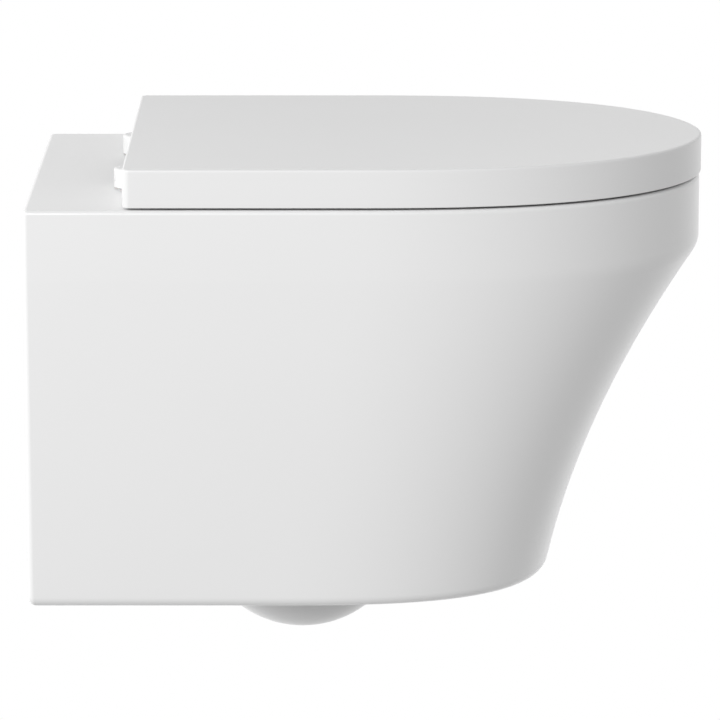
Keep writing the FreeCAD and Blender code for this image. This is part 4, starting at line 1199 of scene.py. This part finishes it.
@dataclass
class Hinges:
    """The take-off hinge line: two upright hubs, their pins and the two dampers."""

    pan: Pan
    bolts: HingeBolts
    lift: float = 0.010
    top: float = 0.016
    cap_round: float = 0.0022
    pin: float = 0.003
    run_gap: float = 0.00003
    side_gap: float = 0.001
    ear: float = 0.009
    damper: float = 0.007
    damper_length: float = 0.045
    socket: float = 0.009
    step: float = 0.001
    neck: float = 0.005
    ribs: int = 12
    rib_width: float = 0.001
    rib_ease: float = 0.0002
    ease: float = 0.0006
    cradle_setback: float = 0.002
    damper_gap: float = 0.00005

    @property
    def axis(self) -> Vector:
        """A point on the hinge axis, in the middle."""
        return Vector((0, -self.pan.hinge_place, self.pan.rim + self.lift))

    @property
    def seat_ear(self) -> float:
        """The inner face of the seat's ear, from the middle."""
        return self.pan.hinge_spacing / 2 - self.bolts.hub_radius - self.side_gap - self.ear

    @property
    def lid_ear(self) -> float:
        """The inner face of the lid's ear, from the middle."""
        return self.pan.hinge_spacing / 2 + self.bolts.hub_radius + self.side_gap

    @property
    def damper_start(self) -> float:
        """The inner end of a damper, from the middle."""
        return self.seat_ear - self.bolts.gap - self.damper_length

    def ears(self, inner: float, radius: float, low: Point,
             high: Point) -> tuple[list[Step], list[Step]]:
        """Two ears round the pins, each a rounded eye on an arm.

        Args:
            inner: the inner face of the right ear, from the middle.
            radius: the eye's radius.
            low: the arm's (y, z) at its lowest corner.
            high: the arm's (y, z) at its highest corner.

        Returns:
            What is added to the piece, and what is taken away after everything is added.
        """
        added, taken = [], []
        for sign in (-1, 1):
            near, far = sorted((sign * inner, sign * (inner + self.ear)))
            added.append((Cut.ADD, slab_block(f"arm_{sign}", Vector((near, *low)),
                                              Vector((far, *high)))))
            added.append((Cut.ADD, rod(f"eye_{sign}", radius, near, far, self.axis, Axis.ACROSS,
                                       Facets.SMALL)))
            taken.append((Cut.TAKE, rod(f"bore_{sign}", self.pin + self.run_gap, near - SLACK,
                                        far + SLACK, self.axis, Axis.ACROSS, Facets.BORE)))
        return added, taken

    def cradle(self, sign: int, low: Point, high: Point,
               rounding: float = 0.0) -> tuple[Step, Step]:
        """The block that holds a damper, and the bore for the damper through it.

        Args:
            sign: which side of the middle it is on.
            low: the block's (y, z) at its lowest corner.
            high: the block's (y, z) at its highest corner.
            rounding: radius of its edges.

        Returns:
            What is added to the piece, and what is taken away.
        """
        first, last = sorted((
            sign * (self.damper_start + self.cradle_setback),
            sign * (self.damper_start + self.damper_length - self.cradle_setback)))
        block = slab_block("cradle", Vector((first, *low)), Vector((last, *high)), rounding)
        bore = rod("cradle_bore", self.damper + self.damper_gap, first - 2 * SLACK,
                   last + 2 * SLACK, self.axis, Axis.ACROSS)
        return (Cut.ADD, block), (Cut.TAKE, bore)

    def build(self, workshop: Workshop) -> None:
        """Make the hubs, the pins and both dampers."""
        for side, sign in (("left", -1), ("right", 1)):
            self.hub(workshop, side, sign)
            self.pin_rod(workshop, side, sign)
        self.barrel(workshop, "seat_damper_barrel", "seat_damper", -1, Body.SEAT)
        self.barrel(workshop, "lid_damper_barrel", "lid_damper", 1, Body.LID)

    def hub(self, workshop: Workshop, side: str, sign: int) -> None:
        """The round hub that pushes onto its plug, with a softly rounded top."""
        bolts = self.bolts
        low = bolts.gasket + bolts.gap
        plug_room = bolts.plug_top + bolts.gap
        flange_room = bolts.gasket + bolts.flange_plate + bolts.gap
        outer = bolts.hub_radius
        plug = bolts.plug + bolts.gap / 2
        flange = bolts.flange + bolts.gap
        profile = [(0.0, plug_room), (plug, plug_room), (plug, flange_room), (flange, flange_room),
                   (flange, low), (outer, low)]
        profile += [(outer - inset, self.top - drop)
                    for drop, inset in reversed(edge_rows(self.cap_round))]
        profile += [(outer * 0.5, self.top), (0.0, self.top)]
        place = Vector((sign * self.pan.hinge_spacing / 2, -self.pan.hinge_place, self.pan.rim))
        hub = turned("hub", profile, place, Axis.UP, Facets.HUB)
        bore = rod("pin_bore", self.pin + self.run_gap, -outer - SLACK, outer + SLACK,
                   self.axis + Vector((place.x, 0, 0)), Axis.ACROSS, Facets.BORE)
        smoothed(combined(hub, [(Cut.TAKE, bore)]))
        workshop.deliver(hub, f"hub_{side}", HUB_WHITE, Body.CARRIER, Slot.HUB, f"hinge_hub_{side}")

    def pin_rod(self, workshop: Workshop, side: str, sign: int) -> None:
        """The steel pin through lid ear, hub and seat ear into the damper."""
        start = self.seat_ear - self.socket
        end = self.lid_ear + self.ear + self.side_gap
        profile = [(radius, sign * along)
                   for radius, along in eased(oblong(0.0, self.pin, start, end), self.ease)]
        pin = smoothed(turned("pin", profile, self.axis, Axis.ACROSS, Facets.BORE))
        workshop.deliver(pin, f"pin_{side}", STEEL, Body.CARRIER, Slot.STEEL, f"hinge_pin_{side}")

    def barrel(self, workshop: Workshop, name: str, node: str, sign: int, body: Body) -> None:
        """A damper: a stepped barrel with grip flutes round its neck."""
        floor = self.damper_length - self.socket - self.bolts.gap
        shoulder = self.damper_length - self.neck
        narrow = self.damper - self.step
        bore = self.pin + self.run_gap
        profile = eased([(0.0, 0.0), (self.damper, 0.0), (self.damper, shoulder),
                         (narrow, shoulder), (narrow, self.damper_length),
                         (bore, self.damper_length), (bore, floor), (0.0, floor)], self.ease)
        barrel = smoothed(turned("barrel", profile, Vector(), Axis.UP, Facets.RING))
        rib = slab_block(
            "rib", Vector((narrow - 0.0004, -self.rib_width / 2, shoulder + 0.0004)),
            Vector((self.damper - 0.0002, self.rib_width / 2, self.damper_length - 0.0006)),
            self.rib_ease)
        ribs = workshop.ring.run(smoothed(rib), DAMPER_GREY, Count=self.ribs)
        whole = joined(name, [barrel, ribs])
        turn = Matrix.Rotation(math.pi / 2 * sign, 4, "Y")
        place = Matrix.Translation(self.axis + Vector((sign * self.damper_start, 0, 0)))
        whole.data.transform(place @ turn)
        whole.data.materials.clear()
        workshop.deliver(whole, name, DAMPER_GREY, body, Slot.DAMPER, node)


@dataclass
class SeatRing:
    """The seat ring with its ears, its damper's cradle and its rubber buffers."""

    pan: Pan
    hinges: Hinges
    overhang: float = 0.0012
    lid_wall: float = 0.005
    gap: float = 0.0027
    lift: float = 0.005
    thickness: float = 0.017
    back: float = 0.0945
    hole_width: float = 0.224
    hole_length: float = 0.290
    hole_middle: float = 0.308
    over: float = 0.006
    under: float = 0.0025
    corner: float = 0.012
    ear_radius: float = 0.005
    cradle_height: float = 0.008
    cradle_ease: float = 0.0012
    buffer: float = 0.010
    buffer_gap: float = 0.0003
    angles: Point = (54.0, 126.0)

    def build(self, workshop: Workshop) -> None:
        """Make the ring and its buffers."""
        self.ring(workshop)
        self.buffers(workshop)

    def ring(self, workshop: Workshop) -> None:
        """The moulded ring with rounded edges all round and an oval opening."""
        low = self.pan.rim + self.lift
        high = low + self.thickness
        reduced = self.overhang - self.lid_wall - self.gap
        outline = Outline(self.pan.width / 2 + reduced, self.back, self.pan.rim_straight,
                          self.pan.length + reduced, self.corner, *self.pan.rim_nose)
        slab = rounded_slab("ring", outline, low, high, self.under, self.over)
        rows = [(low - SLACK, self.under)] + [(low + rise, inset)
                                              for rise, inset in edge_rows(self.under)]
        rows += [(high - drop, inset) for drop, inset in reversed(edge_rows(self.over))]
        rows.append((high + SLACK, self.over))
        hole = skin("hole", [oval(self.hole_width / 2 + inset, self.hole_length / 2 + inset,
                                  self.hole_middle, z) for z, inset in rows])
        axis = self.hinges.axis
        arm = self.back + self.over
        ears, bores = self.hinges.ears(self.hinges.seat_ear, self.ear_radius,
                                       (-arm, axis.z - self.ear_radius),
                                       (axis.y, axis.z + self.ear_radius))
        cradle, damper_bore = self.hinges.cradle(-1, (-arm, axis.z - self.cradle_height / 2),
                                                 (axis.y, axis.z + self.cradle_height / 2),
                                                 self.cradle_ease)
        ring = smoothed(combined(slab, [(Cut.TAKE, hole), *ears, cradle, *bores, damper_bore]))
        workshop.deliver(ring, "seat_moulding", SEAT_WHITE, Body.SEAT, Slot.SEAT, "seat_ring")

    def buffers(self, workshop: Workshop) -> None:
        """Soft feet under the ring, domed at the tip."""
        low = self.pan.rim + self.buffer_gap
        high = self.pan.rim + self.lift
        profile = eased([(0.0, low), (self.buffer * 0.55, low), (self.buffer * 0.9, low + 0.0008),
                         (self.buffer, low + 0.0024), (self.buffer, high), (0.0, high)], 0.0009)
        disc = smoothed(turned("buffer", profile, Vector(), Axis.UP, Facets.SMALL))
        self.spread(workshop, disc, "seat_feet", Body.SEAT, "seat_buffers", self.angles)

    def spread(self, workshop: Workshop, disc: bpy.types.Object, name: str, body: Body, node: str,
               angles: Point) -> None:
        """Put a buffer at four places over the rim."""
        placed = workshop.places.run(
            disc, RUBBER, Across=(self.pan.bowl_width + self.pan.width) / 4,
            Along=(self.pan.bowl_length / 2 + self.pan.length - self.pan.bowl_middle) / 2,
            Middle=self.pan.bowl_middle, Front_Angle=math.radians(angles[0]),
            Rear_Angle=math.radians(angles[1]))
        workshop.deliver(placed, name, RUBBER, body, Slot.RUBBER, node)


@dataclass
class Lid:
    """The wrap-over lid with its ears, its damper's cradle and its buffers."""

    pan: Pan
    hinges: Hinges
    seat: SeatRing
    back: float = 0.075
    gap: float = 0.002
    top: float = 0.0314
    plate: float = 0.006
    wall: float = 0.005
    over: float = 0.002
    under: float = 0.0008
    corner: float = 0.0055
    opening: float = 0.212
    ear_radius: float = 0.006
    cradle_depth: float = 0.010
    cradle_lift: float = 0.002
    ceiling_ease: float = 0.0019
    buffer: float = 0.007
    angles: Point = (47.0, 119.0)

    def build(self, workshop: Workshop) -> None:
        """Make the lid and its buffers."""
        self.shell(workshop)
        self.buffers(workshop)

    def outline(self, inset: float, back: float) -> Outline:
        """The lid's outline, moved inwards, with its back at a distance from the wall."""
        half = self.pan.width / 2 + self.seat.overhang - inset
        tip = self.pan.length + self.seat.overhang - inset
        return Outline(half, back, self.pan.rim_straight, tip, self.corner, *self.pan.rim_nose)

    def shell(self, workshop: Workshop) -> None:
        """Top plate and wall in one, open at the back for the hinges."""
        low = self.pan.rim + self.gap
        high = self.pan.rim + self.top
        ceiling = high - self.plate
        slab = rounded_slab("lid", self.outline(0.0, self.back), low, high, self.under, self.over)
        inner = self.outline(self.wall, self.back + self.wall)
        rows = [inner.row(low - SLACK), inner.row(ceiling - 0.002)]
        rows += [inner.inset(inset).row(ceiling - drop)
                 for drop, inset in reversed(edge_rows(self.ceiling_ease, 4))]
        gate = slab_block("gate", Vector((-self.opening / 2, -self.back - self.wall - SLACK,
                                          low - SLACK)),
                          Vector((self.opening / 2, SLACK - self.back, ceiling)))
        axis = self.hinges.axis
        top = high - self.plate / 2
        ears, bores = self.hinges.ears(self.hinges.lid_ear, self.ear_radius,
                                       (axis.y - self.ear_radius, axis.z), (-self.back, top))
        cradle, damper_bore = self.hinges.cradle(
            1, (axis.y - self.cradle_depth / 2, axis.z + self.cradle_lift),
            (-self.back - 0.00001, top))
        steps = [(Cut.TAKE, skin("room", rows)), (Cut.TAKE, gate),
                 *ears, cradle, *bores, damper_bore]
        lid = smoothed(combined(slab, steps))
        workshop.deliver(lid, "lid_moulding", SEAT_WHITE, Body.LID, Slot.SEAT, "lid")

    def buffers(self, workshop: Workshop) -> None:
        """Soft feet between lid and seat ring."""
        low = self.pan.rim + self.seat.lift + self.seat.thickness + self.seat.buffer_gap
        high = self.pan.rim + self.top - self.plate
        profile = eased([(0.0, low), (self.buffer * 0.5, low), (self.buffer * 0.9, low + 0.0006),
                         (self.buffer, low + 0.0016), (self.buffer, high), (0.0, high)], 0.0006)
        disc = smoothed(turned("buffer", profile, Vector(), Axis.UP, Facets.BORE))
        self.seat.spread(workshop, disc, "lid_feet", Body.LID, "lid_buffers", self.angles)


# --------------------------------------------------------------------------- studio
@dataclass
class Studio:
    """White surroundings that shine more from some sides, one lamp, and the photograph's camera."""

    pan: Pan
    pitch: float = 11.983                  # camera tilt, degrees
    focal: float = 254.61                  # lens, millimetres on the sensor
    sensor: float = 36.0
    distance: float = 3.75463              # from the near side of the ceramic
    reach: float = 0.25346                 # from the wall
    height: float = 0.68276                # above the rim
    light_high: tuple[float, float, float] = (0.88, 1.05, 0.0)  # strength from +X, +Y and +Z
    light_low: tuple[float, float, float] = (0.0, 0.56, 0.2)    # strength from -X, -Y and -Z
    key_power: float = 78.0
    key_size: float = 1.5
    key_place: tuple[float, float, float] = (-3.0, 0.9, 1.3)
    key_aim: tuple[float, float, float] = (0.0, -0.25, 0.0)

    def build(self) -> None:
        """Make the camera, the surroundings and the lamp."""
        self.camera()
        self.world()
        self.key()
        bpy.context.scene.view_settings.view_transform = "Standard"

    def camera(self) -> None:
        """The long lens that looks at the side from a little above."""
        data = bpy.data.cameras.new("camera")
        data.lens = self.focal
        data.sensor_width = self.sensor
        data.clip_end = 100.0
        camera = linked("camera", data)
        camera.location = (-self.pan.width / 2 - self.distance, -self.reach,
                           self.pan.rim + self.height)
        camera.rotation_euler = (math.radians(90 - self.pitch), 0.0, math.radians(-90))
        bpy.context.scene.camera = camera

    def world(self) -> None:
        """Surroundings that are white to the eye and light the object with six soft lobes."""
        world = bpy.data.worlds.new("studio")
        bpy.context.scene.world = world
        world.use_nodes = True
        tree = world.node_tree
        sky = wire(tree, "ShaderNodeTexCoord").outputs["Generated"]
        lobes = []
        for sign, strengths in ((1.0, self.light_high), (-1.0, self.light_low)):
            facing = wire(tree, "ShaderNodeVectorMath", {0: sky, "Scale": sign}, operation="SCALE")
            ahead = wire(tree, "ShaderNodeVectorMath",
                         {0: facing.outputs["Vector"], 1: (0.0, 0.0, 0.0)}, operation="MAXIMUM")
            weighed = wire(tree, "ShaderNodeVectorMath",
                           {0: ahead.outputs["Vector"], 1: strengths}, operation="DOT_PRODUCT")
            lobes.append(weighed.outputs["Value"])
        total = wire(tree, "ShaderNodeMath", {0: lobes[0], 1: lobes[1]}, operation="ADD")
        light = tree.nodes["Background"]
        light.inputs["Color"].default_value = WHITE
        tree.links.new(total.outputs["Value"], light.inputs["Strength"])
        seen = wire(tree, "ShaderNodeBackground", {"Color": WHITE, "Strength": 1.0})
        path = wire(tree, "ShaderNodeLightPath")
        pick = wire(tree, "ShaderNodeMixShader", {
            0: path.outputs["Is Camera Ray"], 1: light.outputs["Background"],
            2: seen.outputs["Background"]})
        tree.links.new(pick.outputs["Shader"], tree.nodes["World Output"].inputs["Surface"])

    def key(self) -> None:
        """The large soft lamp beside the camera, towards the wall."""
        data = bpy.data.lights.new("key", "AREA")
        data.energy = self.key_power
        data.size = self.key_size
        lamp = linked("key", data)
        lamp.location = self.key_place
        aim = Vector(self.key_aim) - Vector(self.key_place)
        lamp.rotation_euler = aim.to_track_quat("-Z", "Y").to_euler()


def main() -> None:
    """Build every sub-assembly round the frame, then the studio."""
    logging.basicConfig(level=logging.INFO, format="%(name)s %(message)s")
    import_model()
    for scrap in [o for o in bpy.context.scene.objects if o.name in ("Cube", "Light", "Camera")]:
        bpy.data.objects.remove(scrap)
    workshop = Workshop()
    pan = Pan.from_frame()
    bolts = HingeBolts(pan)
    hinges = Hinges(pan, bolts)
    seat = SeatRing(pan, hinges)
    lid = Lid(pan, hinges, seat)
    for assembly in (pan, WallFixings(pan), bolts, hinges, seat, lid):
        assembly.build(workshop)
    Studio(pan).build()
    LOG.info("%d pieces made", len(workshop.made))


if __name__ == "__main__":
    main()
